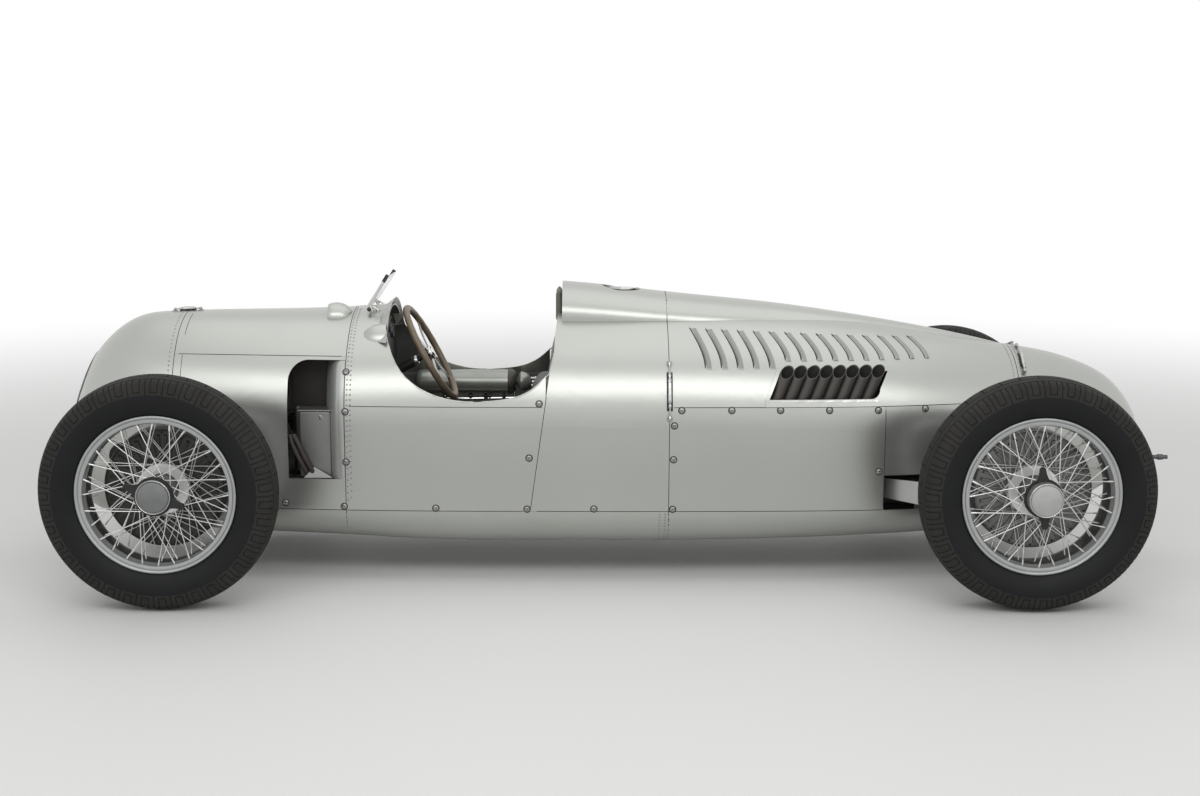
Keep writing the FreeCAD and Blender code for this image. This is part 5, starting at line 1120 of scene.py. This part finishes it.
for i in range(8):
    elbow = np.array((0.49794 + 0.0463 * i, 0.361 - 0.0047 * i, 0.606))
    ring = elbow + bore * (np.cos(stub_turn) * stub_across + np.sin(stub_turn) * (0.0, 1.0, 0.0))
    rise = (mouth_height - ring[:, 2] - (ring[:, 1] - elbow[1])) / stub_axis[2]
    lining = np.vstack([ring + rise[:, None] * stub_axis, ring + bore_foot * stub_axis,
                        np.repeat((elbow + bore_foot * stub_axis)[None], 28, axis=0)])
    faces = grid_faces(3, 28, False, True)
    linings += [(lining * (1, -1, 1), faces[:, ::-1]), (lining, faces)]
make_piece("stub_bores", linings, soot, True)

# Floor
# A plain pale floor; away from the car it fades into the white of the room.
floor_paint = noise_finish("studio_floor", (0.80, 0.80, 0.79), (0.78, 0.78, 0.77), 1.5, 0.6, 0.05, 0.0, 0.02, 60)
fade_start, fade_end = 2.6, 9.0


def strength_by_ray(tree, unseen=0.55):
    """A node whose result is 1 where a camera, mirror or glass ray looks, and lower where surfaces are lit."""
    rays, seen, seen_through, strength = new_nodes(tree, "LightPath", "Math", "Math", "MapRange")
    seen_through.use_clamp = True
    strength.inputs["To Min"].default_value = unseen
    wire(tree, (rays, "Is Camera Ray", seen, 0), (rays, "Is Glossy Ray", seen, 1), (seen, "Value", seen_through, 0),
         (rays, "Is Transmission Ray", seen_through, 1), (seen_through, "Value", strength, "Value"))
    return strength


floor_tree = floor_paint.node_tree
from_car, fade, floor_white, floor_mix, floor_place = new_nodes(floor_tree, "VectorMath", "MapRange", "Emission",
                                                                "MixShader", "TexCoord")
from_car.operation = "LENGTH"
fade.interpolation_type = "SMOOTHSTEP"
fade.inputs["From Min"].default_value = fade_start
fade.inputs["From Max"].default_value = fade_end
wire(floor_tree, (floor_place, "Object", from_car, 0), (from_car, "Value", fade, "Value"),
     (strength_by_ray(floor_tree), "Result", floor_white, "Strength"), (fade, "Result", floor_mix, "Fac"),
     (floor_tree.nodes["Principled BSDF"], "BSDF", floor_mix, 1), (floor_white, "Emission", floor_mix, 2),
     (floor_mix, "Shader", floor_tree.nodes["Material Output"], "Surface"))
bpy.ops.mesh.primitive_plane_add(size=160)
floor = bpy.context.object
floor.name = "studio_floor"
floor.data.materials.append(floor_paint)

# Light
# A white room: even pale surroundings for the metal to mirror, one long soft lamp high beside the car and one broad
# one over it.
room = bpy.data.worlds.new("white_room")
bpy.context.scene.world = room
room.use_nodes = True
backdrop = room.node_tree.nodes["Background"]
backdrop.inputs["Color"].default_value = (1, 1, 1, 1)
wire(room.node_tree, (strength_by_ray(room.node_tree), "Result", backdrop, "Strength"))


def soft_lamp(name, place, aim, size, power):
    """A broad area lamp at a place, turned towards a point."""
    data = bpy.data.lights.new(name, "AREA")
    data.shape = "RECTANGLE"
    data.size, data.size_y = size
    data.energy = power
    lamp = bpy.data.objects.new(name, data)
    bpy.context.scene.collection.objects.link(lamp)
    way = (Vector(aim) - Vector(place)).normalized()
    lamp.matrix_world = Matrix.Translation(place) @ way.to_track_quat("-Z", "Y").to_matrix().to_4x4()


soft_lamp("side_strip", (0.0, -3.7, 3.3), (0.0, 0.0, 0.65), (7.5, 1.5), 80)
soft_lamp("overhead", (0.0, 0.4, 4.6), (0.0, 0.0, 0.4), (6.0, 4.5), 42)

# Camera
# Where the photograph was taken from: level with the driver's eyes, a little ahead of the middle, looking down.
camera_place = Vector((-0.1678, -5.9012, 1.5588))
camera_yaw, camera_pitch, camera_roll = 0.0117, 0.1624, 0.0039
forward = Vector((math.sin(camera_yaw) * math.cos(camera_pitch), math.cos(camera_yaw) * math.cos(camera_pitch),
                  -math.sin(camera_pitch)))
level = Vector((math.cos(camera_yaw), -math.sin(camera_yaw), 0))
upright = level.cross(forward)
right = math.cos(camera_roll) * level + math.sin(camera_roll) * upright
above = math.cos(camera_roll) * upright - math.sin(camera_roll) * level
camera = bpy.data.objects.new("photo_camera", bpy.data.cameras.new("photo_camera"))
bpy.context.scene.collection.objects.link(camera)
camera.data.lens = 48.23
camera.matrix_world = Matrix.Translation(camera_place) @ Matrix((right, above, -forward)).transposed().to_4x4()
bpy.context.scene.camera = camera
bpy.context.scene.view_settings.view_transform = "Standard"
